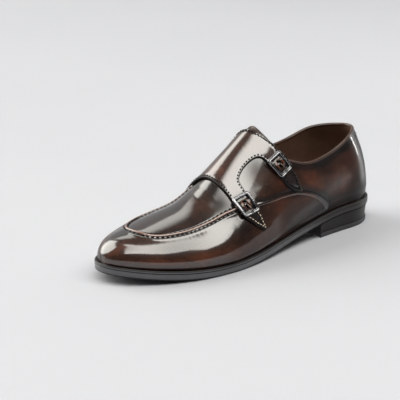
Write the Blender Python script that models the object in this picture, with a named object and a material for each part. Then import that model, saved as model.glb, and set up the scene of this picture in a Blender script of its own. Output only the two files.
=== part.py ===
"""Left double monk strap shoe. Worked in millimetres, x from the heel back to the toe, y to the outer side of the foot,
z up from the floor, and written in metres about the middle of the bounding box."""
import math

import bmesh
import bpy
import numpy as np
from mathutils import Vector
from mathutils.geometry import delaunay_2d_cdt

# ---------------------------------------------------------------- sizes, mm
LENGTH = 300.0                     # outsole, heel back to toe tip
MARGIN = 2.5                       # width of the sole's edge outside the upper
UP0, UP1 = MARGIN, LENGTH - MARGIN  # the upper's ends
GAP = 0.3                          # between two pieces that lie on each other
WALL = 2.2                         # leather and lining of the upper
STRAP = 1.8                        # leather of the monk strap
TONGUE = 2.4
INSOLE = 3.0
TOE_REACH, TOE_K = 74.0, 2.2       # the toe's rounding in plan: how far back it starts, and how full it is
HEEL_REACH, HEEL_K = 44.0, 2.3
BREAST, BREAST_HOLLOW = 85.0, 3.0  # front of the heel, and how far its middle is set back
TOP_PIECE = 4.2                    # the heel's wearing layer
THROAT = 147.0                     # where the opening starts on the crest
BUCKLE_LONG, BUCKLE_WIDE = 18.8, 17.2
BAR_WIDE, BAR_THICK = 2.8, 2.2     # bars of the buckle's frame
PIN_WIDE, PIN_THICK = 2.2, 1.3     # the bar in the middle, under the strap
HUMP = 1.8                         # rise of the strap over that bar


class Spline:
    """Natural cubic through a short table."""

    def __init__(self, xs, ys):
        xs, ys = np.asarray(xs, float), np.asarray(ys, float)
        n, h = len(xs), np.diff(xs)
        a, r = np.eye(n), np.zeros(n)
        for i in range(1, n - 1):
            a[i, i - 1 : i + 2] = h[i - 1] / 6, (h[i - 1] + h[i]) / 3, h[i] / 6
            r[i] = (ys[i + 1] - ys[i]) / h[i] - (ys[i] - ys[i - 1]) / h[i - 1]
        self.x, self.y, self.m = xs, ys, np.linalg.solve(a, r)

    def __call__(self, x):
        x = np.asarray(x, float)
        i = np.clip(np.searchsorted(self.x, x) - 1, 0, len(self.x) - 2)
        x0, x1 = self.x[i], self.x[i + 1]
        h = x1 - x0
        a, b = (x1 - x) / h, (x - x0) / h
        return a * self.y[i] + b * self.y[i + 1] + ((a**3 - a) * self.m[i] + (b**3 - b) * self.m[i + 1]) * h * h / 6


def table(*rows):
    columns = list(zip(*rows))
    return [Spline(columns[0], column) for column in columns[1:]]


# plan of the sole: centre line, half widths to the outer and the inner side
CENTRE, OUTER, INNER = table(
    (0, 0.0, 31.0, 31.0), (30, 0.0, 32.6, 32.6), (60, 0.5, 32.4, 32.6), (90, 2.0, 32.8, 32.0),
    (120, 3.5, 34.2, 31.5), (150, 4.0, 38.6, 35.0), (180, 3.0, 44.2, 41.5), (205, 1.0, 47.2, 47.0),
    (230, -2.0, 47.4, 48.5), (255, -4.5, 45.2, 46.5), (280, -6.5, 41.0, 41.5), (300, -8.0, 37.0, 37.0))
# side view of the sole: floor to underside (below zero is ground flat), thickness
UNDER, THICK = table(
    (0, 16.0, 7.0), (30, 16.6, 7.0), (60, 15.8, 7.0), (90, 12.4, 7.0), (120, 8.2, 7.0), (150, 4.0, 7.5),
    (180, 0.9, 8.0), (205, -0.25, 8.0), (230, 0.5, 8.0), (255, 2.5, 8.0), (280, 5.6, 8.0), (300, 8.8, 8.0))
# height of the upper's crest over the instep and the toe
CREST = Spline((0, 60, 90, 110, 130, 150, 170, 190, 210, 230, 255, 280, 300),
               (100, 114, 114.5, 113, 107.7, 94.4, 79.5, 64.8, 52.4, 46.8, 41.5, 36.6, 34))
# sections of the upper: powers of side and top, swell of the wall, lean of the crest to the inner side
SIDE_POWER, TOP_POWER, SWELL, LEAN = table(
    (0, 2.0, 3.0, 1.0, 0.0), (40, 2.0, 3.0, 2.0, 0.0), (80, 2.0, 2.9, 2.5, 1.0), (120, 1.9, 2.5, 2.5, 4.5),
    (160, 1.8, 2.1, 2.5, 7.0), (200, 1.8, 1.9, 2.5, 4.3), (240, 1.9, 2.0, 2.5, 2.6), (270, 2.0, 2.2, 2.0, 1.2),
    (300, 2.0, 2.4, 1.0, 0.0))
# how far the back leans forward at a height above the sole
BACK = Spline((-5, 0, 18, 40, 63, 95), (0.3, 0.0, 1.8, 5.0, 13.0, 15.0))
# the top line: height above the floor, outer and inner side, by section
TOP_OUTER, TOP_INNER = table(
    (2.5, 90.0, 90.0), (22, 88.4, 88.4), (42, 84.0, 84.5), (54, 80.2, 81.0), (71, 74.5, 76.5), (85, 71.5, 74.5),
    (98, 71.0, 74.5), (110, 72.6, 77.0), (119, 75.4, 80.5), (127, 78.6, 85.0), (135, 84.0, 89.8), (142, 91.0, 93.8),
    (THROAT, 96.4, 96.4))


def smooth(t):
    t = np.clip(t, 0.0, 1.0)
    return t * t * t * (t * (6 * t - 15) + 10)


def end_round(s, reach, k, q):
    """1 well inside an end, falling to 0 at it as the q-th root of the distance s."""
    r = np.clip(np.asarray(s, float) / reach, 0.0, 1.0)
    return (1.0 - (1.0 - r) ** k) ** (1.0 / q)


def under(x):
    return np.maximum(UNDER(x), 0.0)


def sole_top(x):
    return UNDER(x) + THICK(x)


def feather(x):
    """Height of the upper's lower edge."""
    return sole_top(x) + GAP


def upper_point(x, a):
    """The upper's outer face. Angle a goes from 0 at the outer side's lower edge over pi/2 at the crest to pi."""
    x, a = np.broadcast_arrays(np.asarray(x, float), np.asarray(a, float))
    side = np.where(a <= math.pi / 2, 1.0, -1.0)
    th = np.where(a <= math.pi / 2, a, math.pi - a)
    xs = (x - UP0) * LENGTH / (UP1 - UP0)
    w = np.where(side > 0, OUTER(xs), INNER(xs)) - MARGIN
    ends = end_round(UP1 - x, TOE_REACH, TOE_K, 2.0) * end_round(x - UP0, HEEL_REACH, HEEL_K, 2.0)
    h = (CREST(x) - feather(x)) * end_round(UP1 - x, 26.0, 3.0, TOP_POWER(UP1))
    t = np.maximum(np.sin(th), 0) ** (2 / TOP_POWER(x))
    g = np.maximum(np.cos(th), 0) ** (2 / SIDE_POWER(x))
    y = CENTRE(xs) + (side * (w * g + SWELL(x) * 6.75 * t * (1 - t) ** 2) - LEAN(x) * t * t) * ends
    back = 1 - smooth((x - UP0) / 75.0)
    return np.stack([x + BACK(h * t) * back, y, feather(x) + h * t], -1)


def upper_normal(x, a):
    x, a = np.broadcast_arrays(np.asarray(x, float), np.asarray(a, float))
    xc, ac = np.clip(x, UP0 + 0.02, UP1 - 0.02), np.clip(a, 0.004, math.pi - 0.004)
    du = upper_point(xc + 0.01, ac) - upper_point(xc - 0.01, ac)
    dv = upper_point(xc, ac + 0.003) - upper_point(xc, ac - 0.003)
    n = np.cross(dv, du)
    return n / np.linalg.norm(n, axis=-1, keepdims=True)


def on_upper(x, a, off):
    return upper_point(x, a) + np.asarray(off)[..., None] * upper_normal(x, a)


def angle_at(x, z, side):
    """Angle at which the section at x reaches height z."""
    t = np.clip((z - feather(x)) / (CREST(x) - feather(x)), 0, 1)
    th = np.arcsin(t ** (TOP_POWER(x) / 2))
    return th if side > 0 else math.pi - th


# ---------------------------------------------------------------- making bodies
POINTS = {}


def body(name, points, faces, colour):
    """One closed body: coincident points are merged and collapsed faces dropped."""
    points = np.asarray(points, float)
    _, first, index = np.unique(np.round(points, 4), axis=0, return_index=True, return_inverse=True)
    index = index.reshape(-1)
    kept = []
    for face in faces:
        ring = [index[i] for i in face]
        ring = [v for k, v in enumerate(ring) if v != ring[k - 1]]
        if len(set(ring)) >= 3 and len(set(ring)) == len(ring):
            kept.append(ring)
    POINTS[name] = (points[first], kept, colour)


def grid_faces(n, m, start=0, flip=False):
    faces = [(start + i * m + j, start + (i + 1) * m + j, start + (i + 1) * m + j + 1, start + i * m + j + 1)
             for i in range(n - 1) for j in range(m - 1)]
    return [face[::-1] for face in faces] if flip else faces


def slab(name, levels, colour):
    """A closed body from levels of an n by m grid, the lowest first; x rises with i, y with j."""
    levels = np.asarray(levels, float)
    count, n, m, _ = levels.shape
    size = n * m
    faces = grid_faces(n, m, (count - 1) * size) + grid_faces(n, m, 0, True)
    rim = ([i * m for i in range(n)] + [(n - 1) * m + j for j in range(1, m)]
           + [i * m + m - 1 for i in range(n - 2, -1, -1)] + [j for j in range(m - 2, 0, -1)])
    for k in range(count - 1):
        for p, q in zip(rim, rim[1:] + rim[:1]):
            faces.append((k * size + p, k * size + q, (k + 1) * size + q, (k + 1) * size + p))
    body(name, levels.reshape(-1, 3), faces, colour)


def plate(stations, across, inset, z_of, x_end=None):
    """One level of a sole plate: the plan drawn in by inset, at the heights z_of(x)."""
    rows = []
    for s in stations:
        x = inset + s * (LENGTH - 2 * inset) if x_end is None else inset + s * (x_end - inset)
        xs = (x - inset) * LENGTH / (LENGTH - 2 * inset) if x_end is None else x
        row = []
        for j in across:
            side = 1 if j >= 0 else -1
            w = float((OUTER if side > 0 else INNER)(xs)) - inset
            if x_end is None:
                w *= end_round(LENGTH - xs, TOE_REACH, TOE_K, 2.0) * end_round(xs, HEEL_REACH, HEEL_K, 2.0)
            else:
                w *= end_round(x - inset, HEEL_REACH, HEEL_K, 2.0)
            y = float(CENTRE(x)) + w * j
            xx = x if x_end is None else x - BREAST_HOLLOW * (1 - j * j) * float(smooth((s - 0.55) / 0.45))
            row.append((xx, y, float(z_of(xx))))
        rows.append(row)
    return rows


def cosine(n):
    return (1 - np.cos(np.linspace(0, math.pi, n))) / 2


def build_sole():
    across = (-1, -0.66, -0.33, 0, 0.33, 0.66, 1)
    s = cosine(48)
    slab("outsole", [plate(s, across, 1.3, under), plate(s, across, 0.0, lambda x: under(x) + 1.4),
                     plate(s, across, 0.0, lambda x: sole_top(x) - 0.7),
                     plate(s, across, 0.7, sole_top)], "sole")
    s = cosine(36)
    inner = MARGIN + WALL + 2.1
    low = lambda x: sole_top(x) + GAP
    slab("insole", [plate(s, across, inner, low), plate(s, across, inner, lambda x: low(x) + INSOLE - 0.8),
                    plate(s, across, inner + 0.8, lambda x: low(x) + INSOLE)], "lining")
    s = 1 - np.cos(np.linspace(0, math.pi / 2, 22))
    across = (-1, -0.75, -0.5, -0.25, 0, 0.25, 0.5, 0.75, 1)
    heel = [(1.7, lambda x: TOP_PIECE + GAP), (1.9, lambda x: TOP_PIECE + GAP + 0.35 * (under(x) - GAP - TOP_PIECE)),
            (1.4, lambda x: TOP_PIECE + GAP + 0.75 * (under(x) - GAP - TOP_PIECE)), (0.9, lambda x: under(x) - GAP)]
    slab("heel_block", [plate(s, across, d, z, BREAST) for d, z in heel], "sole")
    slab("heel_top_piece", [plate(s, across, d, z, BREAST) for d, z in
                            ((1.9, lambda x: 0.0), (1.3, lambda x: 0.7), (1.4, lambda x: TOP_PIECE))], "sole")


def stations_of_upper():
    """Sections close together at both ends and at the throat, one of them at the throat itself."""
    a = UP0 + (116.0 - UP0) * (1 - np.cos(np.linspace(0, math.pi / 2, 17))) ** 0.9
    b = THROAT - (THROAT - 116.0) * np.linspace(1, 0, 10) ** 1.4
    s = np.linspace(0, 1, 24)
    c = UP1 - (UP1 - THROAT) * (0.35 * (1 - s) ** 2 + 0.65 * np.cos(math.pi / 2 * s) ** 2)
    c[-1] = UP1
    return np.concatenate([a, b[1:], c[1:]])


def top_angle(x, side):
    if x >= THROAT - 1e-9:
        return math.pi / 2
    a = float(angle_at(x, (TOP_OUTER if side > 0 else TOP_INNER)(x), side))
    return min(a, math.pi / 2 - 0.02) if side > 0 else max(a, math.pi / 2 + 0.02)


def wall_grid(xs, rows, off):
    """The upper's face at an offset: the outer side from the lower edge to the top line, then the inner side down again."""
    grid = []
    for x in xs:
        v = np.linspace(0, 1, rows)
        a = np.concatenate([v * top_angle(x, 1), math.pi - v[::-1] * (math.pi - top_angle(x, -1))])
        p, n = upper_point(np.full(len(a), x), a), upper_normal(np.full(len(a), x), a)
        for k in (0, len(a) - 1):
            n[k, 2] = 0.0
            n[k] /= np.linalg.norm(n[k])
        if x in (xs[0], xs[-1]):
            n[:, 1] = 0.0
            n /= np.linalg.norm(n, axis=1, keepdims=True)
        if x == xs[-1]:
            n[:] = (1.0, 0.0, 0.0)
        grid.append(p + off * n)
        edge = slice(None) if x == xs[-1] else [0, -1]
        grid[-1][edge, 2] = feather(grid[-1][edge, 0])
    return np.array(grid)


def build_upper():
    xs, rows = stations_of_upper(), 13
    n, m = len(xs), 26
    outer, inner = wall_grid(xs, rows, 0.0), wall_grid(xs, rows, -WALL)
    size = n * m
    faces = []
    for start, flip in ((0, True), (size, False)):
        for i in range(n - 1):
            for j in range(m - 1):
                if j == rows - 1:
                    continue
                f = (start + i * m + j, start + (i + 1) * m + j, start + (i + 1) * m + j + 1, start + i * m + j + 1)
                faces.append(f[::-1] if flip else f)
    for i in range(n - 1):
        rims = [(0, False), (m - 1, True)]
        if xs[i] < THROAT - 1e-6:
            rims += [(rows - 1, True), (rows, False)]
        for j, flip in rims:
            f = (i * m + j, (i + 1) * m + j, size + (i + 1) * m + j, size + i * m + j)
            faces.append(f[::-1] if flip else f)
    body("upper", np.concatenate([outer.reshape(-1, 3), inner.reshape(-1, 3)]), faces, "leather")


# ---------------------------------------------------------------- sheets laid on the upper
RADIUS = 45.0  # makes an angle of the upper about as long as it is on the shoe


def curve(points, step, closed_corners=()):
    """A smooth line through a few points of a chart, broken at the corners, cut into even steps."""
    points = np.asarray(points, float)
    n = len(points)
    breaks = sorted(closed_corners)
    out = []
    for k, b in enumerate(breaks):
        e = breaks[(k + 1) % len(breaks)]
        run = [points[i % n] for i in range(b, e + 1 if e > b else e + n + 1)]
        run = np.array(run)
        d = np.concatenate([[0], np.cumsum(np.linalg.norm(np.diff(run, axis=0), axis=1))])
        count = max(int(round(d[-1] / step)), 1)
        t = np.linspace(0, d[-1], count + 1)[:-1]
        if len(run) == 2:
            out += [run[0] + (run[1] - run[0]) * s / d[-1] for s in t]
        else:
            u, v = Spline(d, run[:, 0]), Spline(d, run[:, 1])
            out += [np.array((float(u(s)), float(v(s)))) for s in t]
    return np.array(out)


def within(points, loop):
    """Which points lie inside a closed loop."""
    inside = np.zeros(len(points), bool)
    for a, b in zip(loop, np.roll(loop, -1, axis=0)):
        cross = (a[1] > points[:, 1]) != (b[1] > points[:, 1])
        at = a[0] + (points[:, 1] - a[1]) * (b[0] - a[0]) / (b[1] - a[1] if b[1] != a[1] else 1e-12)
        inside ^= cross & (points[:, 0] < at)
    return inside


def edge_distance(points, loop):
    best = np.full(len(points), 1e9)
    for a, b in zip(loop, np.roll(loop, -1, axis=0)):
        d = b - a
        t = np.clip(((points - a) @ d) / max(d @ d, 1e-12), 0, 1)
        best = np.minimum(best, np.linalg.norm(points - a - t[:, None] * d, axis=1))
    return best


def triangulate(loops, step, extra=None):
    """Points and triangles of a flat region: the first loop is its outline, the others are holes. Extra points replace
    the even ones near them."""
    low, high = loops[0].min(axis=0), loops[0].max(axis=0)
    rows = np.arange(low[1] + step * 0.5, high[1], step * 0.87)
    inner = np.array([(x + (k % 2) * step / 2, y) for k, y in enumerate(rows)
                      for x in np.arange(low[0] + step * 0.5, high[0], step)])
    if extra is not None:
        far = np.linalg.norm(inner[:, None] - extra, axis=-1).min(axis=1) > step * 0.6
        inner = np.concatenate([inner[far], extra])
    keep = within(inner, loops[0]) & (edge_distance(inner, loops[0]) > (step if extra is None else 1.6) * 0.5)
    for hole in loops[1:]:
        keep &= ~within(inner, hole) & (edge_distance(inner, hole) > 0.5)
    points, edges = [], []
    for loop in loops:
        start = len(points)
        points += [tuple(p) for p in loop]
        edges += [(start + i, start + (i + 1) % len(loop)) for i in range(len(loop))]
    points += [tuple(p) for p in inner[keep]]
    made = delaunay_2d_cdt([Vector(p) for p in points], edges, [], 0, 1e-6)
    flat = np.array([tuple(p) for p in made[0]])
    faces = np.array([tuple(f) for f in made[2]])
    middle = flat[faces].mean(axis=1)
    keep = within(middle, loops[0])
    for hole in loops[1:]:
        keep &= ~within(middle, hole)
    faces = faces[keep]
    a, b, c = flat[faces[:, 0]], flat[faces[:, 1]], flat[faces[:, 2]]
    turn = (b[:, 0] - a[:, 0]) * (c[:, 1] - a[:, 1]) - (b[:, 1] - a[:, 1]) * (c[:, 0] - a[:, 0])
    faces = np.where((turn < 0)[:, None], faces[:, ::-1], faces)
    return flat, faces


def sheet(name, loops, step, place, low, high, colour, extra=None):
    """A closed body over a flat region of a chart: place(points, off) puts it on the shoe."""
    flat, faces = triangulate(loops, step, extra)
    below, above = place(flat, low(flat)), place(flat, high(flat))
    n = len(flat)
    made = [tuple(f + n) for f in faces] + [tuple(f[::-1]) for f in faces]
    edges = {}
    for f in faces:
        for p, q in ((f[0], f[1]), (f[1], f[2]), (f[2], f[0])):
            edges[(p, q)] = 1
    for p, q in edges:
        if (q, p) not in edges:
            made.append((p, q, q + n, p + n))
    body(name, np.concatenate([below, above]), made, colour)


def chart(flat, off):
    """From the chart of x and RADIUS times the angle to the shoe."""
    return on_upper(flat[:, 0], flat[:, 1] / RADIUS, off)


class Patch:
    """A local chart about a point of the upper: u along the strap's leg towards its tip, v across it, off outwards."""

    def __init__(self, x, a, turn):
        self.x, self.a = x, a
        self.at, self.n = upper_point(x, a), upper_normal(x, a)
        down = upper_point(x, a - 0.01) - self.at
        down -= self.n * (down @ self.n)
        down /= np.linalg.norm(down)
        side = np.cross(self.n, down)
        self.u = math.cos(turn) * down + math.sin(turn) * side
        self.v = np.cross(self.n, self.u)

    def solve(self, u, v):
        """x and angle of the point of the upper that lies over (u, v)."""
        x, a = np.full(u.shape, self.x), np.full(u.shape, self.a)
        for _ in range(12):
            p = upper_point(x, a) - self.at
            px, pa = upper_point(x + 0.02, a) - self.at, upper_point(x, a + 0.0005) - self.at
            j = [[((q - p) @ w) / h for q, h in ((px, 0.02), (pa, 0.0005))] for w in (self.u, self.v)]
            ru, rv = u - p @ self.u, v - p @ self.v
            det = j[0][0] * j[1][1] - j[0][1] * j[1][0]
            x = x + np.clip((ru * j[1][1] - rv * j[0][1]) / det, -8, 8)
            a = a + np.clip((rv * j[0][0] - ru * j[1][0]) / det, -0.2, 0.2)
        return x, a

    def place(self, u, v, off):
        u, v = np.broadcast_arrays(np.asarray(u, float), np.asarray(v, float))
        x, a = self.solve(u, v)
        return on_upper(x, a, np.broadcast_to(off, u.shape))

    def local(self, x, a):
        p = upper_point(x, a) - self.at
        return p @ self.u, p @ self.v


# the buckles: section and angle of the middle, turn of the leg from straight down the wall
LOWER = Patch(179.0, 0.691, 0.19)
UPPER = Patch(134.8, 0.684, 0.454)
NECK_LONG, NECK_HALF, LEG_HALF = 4.7, 5.5, 7.4  # the leg is narrower beside the bar that it covers
SLOT_HALF, SLOT_FROM, SLOT_TO = 1.4, -3.2, 3.3


def leg(patch, side):
    """Points along one edge of a leg in its buckle, in the chart of the upper; side -1 is the front edge."""
    u = np.array([-8.0, -NECK_LONG, -NECK_LONG, NECK_LONG, NECK_LONG, 8.0])
    v = side * np.array([LEG_HALF, LEG_HALF, NECK_HALF, NECK_HALF, LEG_HALF, LEG_HALF])
    x, a = patch.solve(u, v)
    return [(p, q * RADIUS) for p, q in zip(x, a)]


def strap_loops(step):
    """Outline of the strap with its two legs, and the two slots for the prongs."""
    def rows(*points):
        return [(x, a * RADIUS) for x, a in points]

    parts = [
        # inner side's lower edge and the front edge over the instep
        (rows((189.5, 2.43), (188.3, 2.10), (187.4, 1.80), (187.6, 1.50), (187.6, 1.20), (187.3, 0.97)), True),
        (leg(LOWER, -1), None),
        (rows((180.9, 0.486), (175.3, 0.361), (168.2, 0.250)), False),
        (rows((166.6, 0.234), (165.6, 0.250), (167.0, 0.362), (168.3, 0.460)), False),
        (leg(LOWER, 1)[::-1], None),
        (rows((173.6, 0.905), (173.2, 0.985), (168.6, 1.046), (161.5, 1.060), (155.3, 1.038), (149.8, 0.985),
              (146.6, 0.910)), False),
        (leg(UPPER, -1), None),
        (rows((132.0, 0.419), (124.4, 0.319), (116.0, 0.252)), False),
        (rows((114.2, 0.246), (114.6, 0.268), (118.0, 0.385), (119.9, 0.460)), False),
        (leg(UPPER, 1)[::-1], None),
        # top edge over the tongue and the slanting edge beside the elastic
        (rows((131.6, 0.885), (134.4, 1.02), (137.6, 1.22), (140.0, 1.46), (141.2, 1.72), (141.8, 1.90)), True),
        (rows((142.6, 1.98), (150.0, 2.17), (159.0, 2.36), (165.5, 2.47)), True),
    ]
    points, corners = [], []
    for run, sharp in parts:
        if sharp is None:
            corners += range(len(points) + 1, len(points) + 5)
        elif sharp:
            corners += [len(points), len(points) + len(run) - 1]
        points += run
    loops = [curve(points, step, corners)]
    for patch in (LOWER, UPPER):
        u, v = [], []
        for t in np.arange(12) * math.pi / 6:
            c, d = math.cos(t), math.sin(t)
            u.append((SLOT_TO - SLOT_HALF if c > 0 else SLOT_FROM + SLOT_HALF) + SLOT_HALF * c)
            v.append(SLOT_HALF * d)
        x, a = patch.solve(np.array(u), np.array(v))
        loops.append(np.stack([x, a * RADIUS], 1))
    return loops


def hump(flat):
    """Rise of the strap over the bars of the two buckles."""
    rise = np.zeros(len(flat))
    for patch in (LOWER, UPPER):
        u, v = patch.local(flat[:, 0], flat[:, 1] / RADIUS)
        rise += HUMP * (1 - smooth((np.abs(u) - 1.6) / 3.0)) * (np.abs(v) < 7.0)
    return rise


def build_strap():
    u, v = [g.ravel() for g in np.meshgrid(
        (-10.5, -8.6, -6.8, -4.9, -4.1, -3.4, -2.5, -1.6, -0.5, 0.5, 1.6, 2.5, 3.4, 4.1, 4.9, 6.8, 8.6, 10.5),
        (-6.6, -4.6, -2.6, -1.9, 0, 1.9, 2.6, 4.6, 6.6), indexing="ij")]
    fine = []
    for patch in (LOWER, UPPER):
        x, a = patch.solve(u, v)
        fine.append(np.stack([x, a * RADIUS], 1))
    sheet("monk_strap", strap_loops(3.0), 4.2, chart, lambda p: GAP + hump(p), lambda p: GAP + STRAP + hump(p),
          "strap_leather", np.concatenate(fine))


def top_line(n):
    """The top line in the chart, from the outer side over the throat to the inner side."""
    xs = 60 + (THROAT - 60) * np.sin(np.linspace(0, math.pi / 2, n))
    outer = [(x, top_angle(x, 1) * RADIUS) for x in xs]
    inner = [(x, top_angle(x, -1) * RADIUS) for x in xs[::-1][1:]]
    return np.array(outer + inner)


def build_tongue():
    line = top_line(40)

    def rise(p):
        a, b = line[:-1], line[1:]
        d = b - a
        t = np.clip(((p[:, None] - a) * d).sum(-1) / (d * d).sum(-1), 0, 1)
        gap = np.linalg.norm(p[:, None] - a - t[..., None] * d, axis=-1).min(axis=1)
        side = np.where(p[:, 1] < RADIUS * math.pi / 2, 1, -1)
        z = upper_point(p[:, 0], p[:, 1] / RADIUS)[:, 2]
        top = np.where(side > 0, TOP_OUTER(p[:, 0]), TOP_INNER(p[:, 0]))
        opened = (p[:, 0] < THROAT) & (z > top)
        return (WALL - 0.05) * smooth((gap - 1.8) / 5.0) * opened

    points = [(x, a * RADIUS) for x, a in (
        (172.0, 1.02), (150.0, 0.93), (133.5, 0.865), (131.4, 0.905), (133.6, 1.08), (135.3, 1.32), (134.9, 1.58),
        (134.6, 1.80), (135.6, 2.02), (137.4, 2.16), (140.2, 2.20), (152.0, 2.14), (172.0, 2.06))]
    sheet("tongue", [curve(points, 3.2, (0, 2, 3, 9, 10, 12))], 4.2, chart,
          lambda p: rise(p) - WALL - 0.4 - TONGUE, lambda p: rise(p) - WALL - 0.4,
          "tongue_leather")


# ---------------------------------------------------------------- buckles
FRAME_LOW = 2 * GAP + STRAP
FRAME_HIGH = FRAME_LOW + BAR_THICK


def rounded(long, wide, radius, n):
    """Points and outward directions round a rectangle with rounded corners."""
    out = []
    for k, (su, sv) in enumerate(((1, 1), (-1, 1), (-1, -1), (1, -1))):
        cu, cv = su * (long / 2 - radius), sv * (wide / 2 - radius)
        for t in (np.arange(n) + 0.5) / n * math.pi / 2 + k * math.pi / 2:
            d = (math.cos(t), math.sin(t))
            out.append((cu + radius * d[0], cv + radius * d[1], d[0], d[1]))
    loop = []
    for a, b in zip(out, out[1:] + out[:1]):
        loop.append(a)
        if math.hypot(a[0] - b[0], a[1] - b[1]) > 4:
            for s in (0.25, 0.5, 0.75):
                loop.append(tuple(p + (q - p) * s for p, q in zip(a, b)))
    return np.array(loop)


def box_body(patch, us, vs, offs):
    """Eight corners of a block in a local chart, and its faces."""
    grid = [(u, v, o) for o in offs for u in us for v in vs]
    p = patch.place([g[0] for g in grid], [g[1] for g in grid], np.array([g[2] for g in grid]))
    m = len(vs)
    n = len(us) * m
    faces = grid_faces(len(us), m, n) + grid_faces(len(us), m, 0, True)
    rim = ([i * m for i in range(len(us))] + [(len(us) - 1) * m + j for j in range(1, m)]
           + [i * m + m - 1 for i in range(len(us) - 2, -1, -1)] + [j for j in range(m - 2, 0, -1)])
    faces += [(a, b, b + n, a + n) for a, b in zip(rim, rim[1:] + rim[:1])]
    return p, faces


def build_buckle(name, patch):
    loop = rounded(BUCKLE_LONG - BAR_WIDE, BUCKLE_WIDE - BAR_WIDE, 2.2, 3)
    w, t, c = BAR_WIDE / 2, BAR_THICK, 0.6
    section = [(-w + c * 0.4, 0), (w - c * 0.4, 0), (w, c), (w, t - c), (w - c, t), (-w + c, t), (-w, t - c), (-w, c)]
    u = loop[:, 0, None] + loop[:, 2, None] * np.array([s[0] for s in section])
    v = loop[:, 1, None] + loop[:, 3, None] * np.array([s[0] for s in section])
    off = FRAME_LOW + np.broadcast_to(np.array([s[1] for s in section]), u.shape)
    points = patch.place(u, v, off).reshape(-1, 3)
    n, m = u.shape
    faces = [(i * m + j, (i + 1) % n * m + j, (i + 1) % n * m + (j + 1) % m, i * m + (j + 1) % m)
             for i in range(n) for j in range(m)]
    body(name, points, faces, "metal")
    end = BUCKLE_WIDE / 2 - BAR_WIDE / 2
    offs = (0.5, 0.5 + PIN_THICK)
    p, f = box_body(patch, (-PIN_WIDE / 2, PIN_WIDE / 2), np.linspace(-end - 0.8, end + 0.8, 9), offs)
    body(name + ".pin", p, f, "cutter")
    for k in (-1, 1):
        q = sorted((k * (end - 0.8), k * (end + 0.8)))
        p, f = box_body(patch, (-PIN_WIDE / 2, PIN_WIDE / 2), q, (0.7, FRAME_LOW + 1.0))
        body(f"{name}.end{k + 1}", p, f, "cutter")


def build_prong(name, patch):
    path = np.array([(-2.05, 0.75), (-2.05, 1.6), (-1.75, 2.35), (-0.9, 2.8), (0.4, 2.9), (1.8, 3.6), (3.0, 4.6),
                     (4.4, 5.3), (6.2, 5.52), (8.9, 5.5)])
    d = np.gradient(path, axis=0)
    d /= np.linalg.norm(d, axis=1, keepdims=True)
    wide = np.array([1.7] * 8 + [1.5, 1.1]) / 2
    points = []
    for (u, o), (du, do), w in zip(path, d, wide):
        for a, b in ((-1, -0.5), (-0.6, -1), (0.6, -1), (1, -0.5), (1, 0.5), (0.6, 1), (-0.6, 1), (-1, 0.5)):
            points.append((u - do * b * 0.55, a * w, o + du * b * 0.55))
    points = np.array(points)
    placed = patch.place(points[:, 0], points[:, 1], points[:, 2])
    n, m = len(path), 8
    faces = [(i * m + j, i * m + (j + 1) % m, (i + 1) * m + (j + 1) % m, (i + 1) * m + j)
             for i in range(n - 1) for j in range(m)]
    faces += [tuple(range(m))[::-1], tuple((n - 1) * m + j for j in range(m))]
    body(name, placed, faces, "metal")


# ---------------------------------------------------------------- the scene
# base colour, roughness, metallic value
FINISHES = {
    "leather": ((0.052, 0.020, 0.013, 1), 0.22, 0.0),
    "strap_leather": ((0.040, 0.016, 0.011, 1), 0.2, 0.0),
    "tongue_leather": ((0.045, 0.020, 0.014, 1), 0.35, 0.0),
    "lining": ((0.30, 0.15, 0.08, 1), 0.6, 0.0),
    "sole": ((0.030, 0.030, 0.033, 1), 0.45, 0.0),
    "metal": ((0.16, 0.16, 0.17, 1), 0.25, 1.0),
}


def finish(name):
    colour, roughness, metallic = FINISHES[name]
    material = bpy.data.materials.new(name)
    material.use_nodes = True
    shader = material.node_tree.nodes["Principled BSDF"]
    shader.inputs["Base Color"].default_value = colour
    shader.inputs["Roughness"].default_value = roughness
    shader.inputs["Metallic"].default_value = metallic
    material.diffuse_color = colour
    return material


def make(name, origin, materials):
    points, faces, colour = POINTS[name]
    mesh = bpy.data.meshes.new(name)
    mesh.from_pydata([tuple(p) for p in (points - origin) * 0.001], [], [list(map(int, f)) for f in faces])
    mesh.validate()
    work = bmesh.new()
    work.from_mesh(mesh)
    bmesh.ops.triangulate(work, faces=[f for f in work.faces if len(f.verts) > 3])
    bmesh.ops.recalc_face_normals(work, faces=work.faces)
    if work.calc_volume(signed=True) < 0:
        bmesh.ops.reverse_faces(work, faces=work.faces)
    work.to_mesh(mesh)
    work.free()
    thing = bpy.data.objects.new(name, mesh)
    bpy.context.scene.collection.objects.link(thing)
    if colour in materials:
        mesh.materials.append(materials[colour])
    return thing


def main():
    for thing in list(bpy.data.objects):
        bpy.data.objects.remove(thing)
    build_upper()
    build_tongue()
    build_strap()
    build_sole()
    for name, patch in (("lower", LOWER), ("upper", UPPER)):
        build_buckle("buckle_" + name, patch)
        build_prong("prong_" + name, patch)
    solid = np.concatenate([p for p, _, colour in POINTS.values() if colour != "cutter"])
    low, high = solid.min(axis=0), solid.max(axis=0)
    origin = np.array([(low[0] + high[0]) / 2, (low[1] + high[1]) / 2, low[2]])
    print("origin in the working frame, mm", origin.round(4), "size", (high - low).round(3))
    materials = {key: finish(key) for key in FINISHES}
    made = {name: make(name, origin, materials) for name in POINTS}
    for name, thing in made.items():
        if POINTS[name][2] != "cutter":
            continue
        thing.hide_render = True
        thing.display_type = "WIRE"
        join = made[name.split(".")[0]].modifiers.new(name.split(".")[1], "BOOLEAN")
        join.operation, join.solver, join.object = "UNION", "EXACT", thing


main()
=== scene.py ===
"""The looks of the left double monk strap shoe. Shapes are worked in millimetres, x from the heel back to the toe, y to the
outer side of the foot, z up from the floor, as in the part's own source, and moved to the model's frame at the end."""
import math

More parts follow.
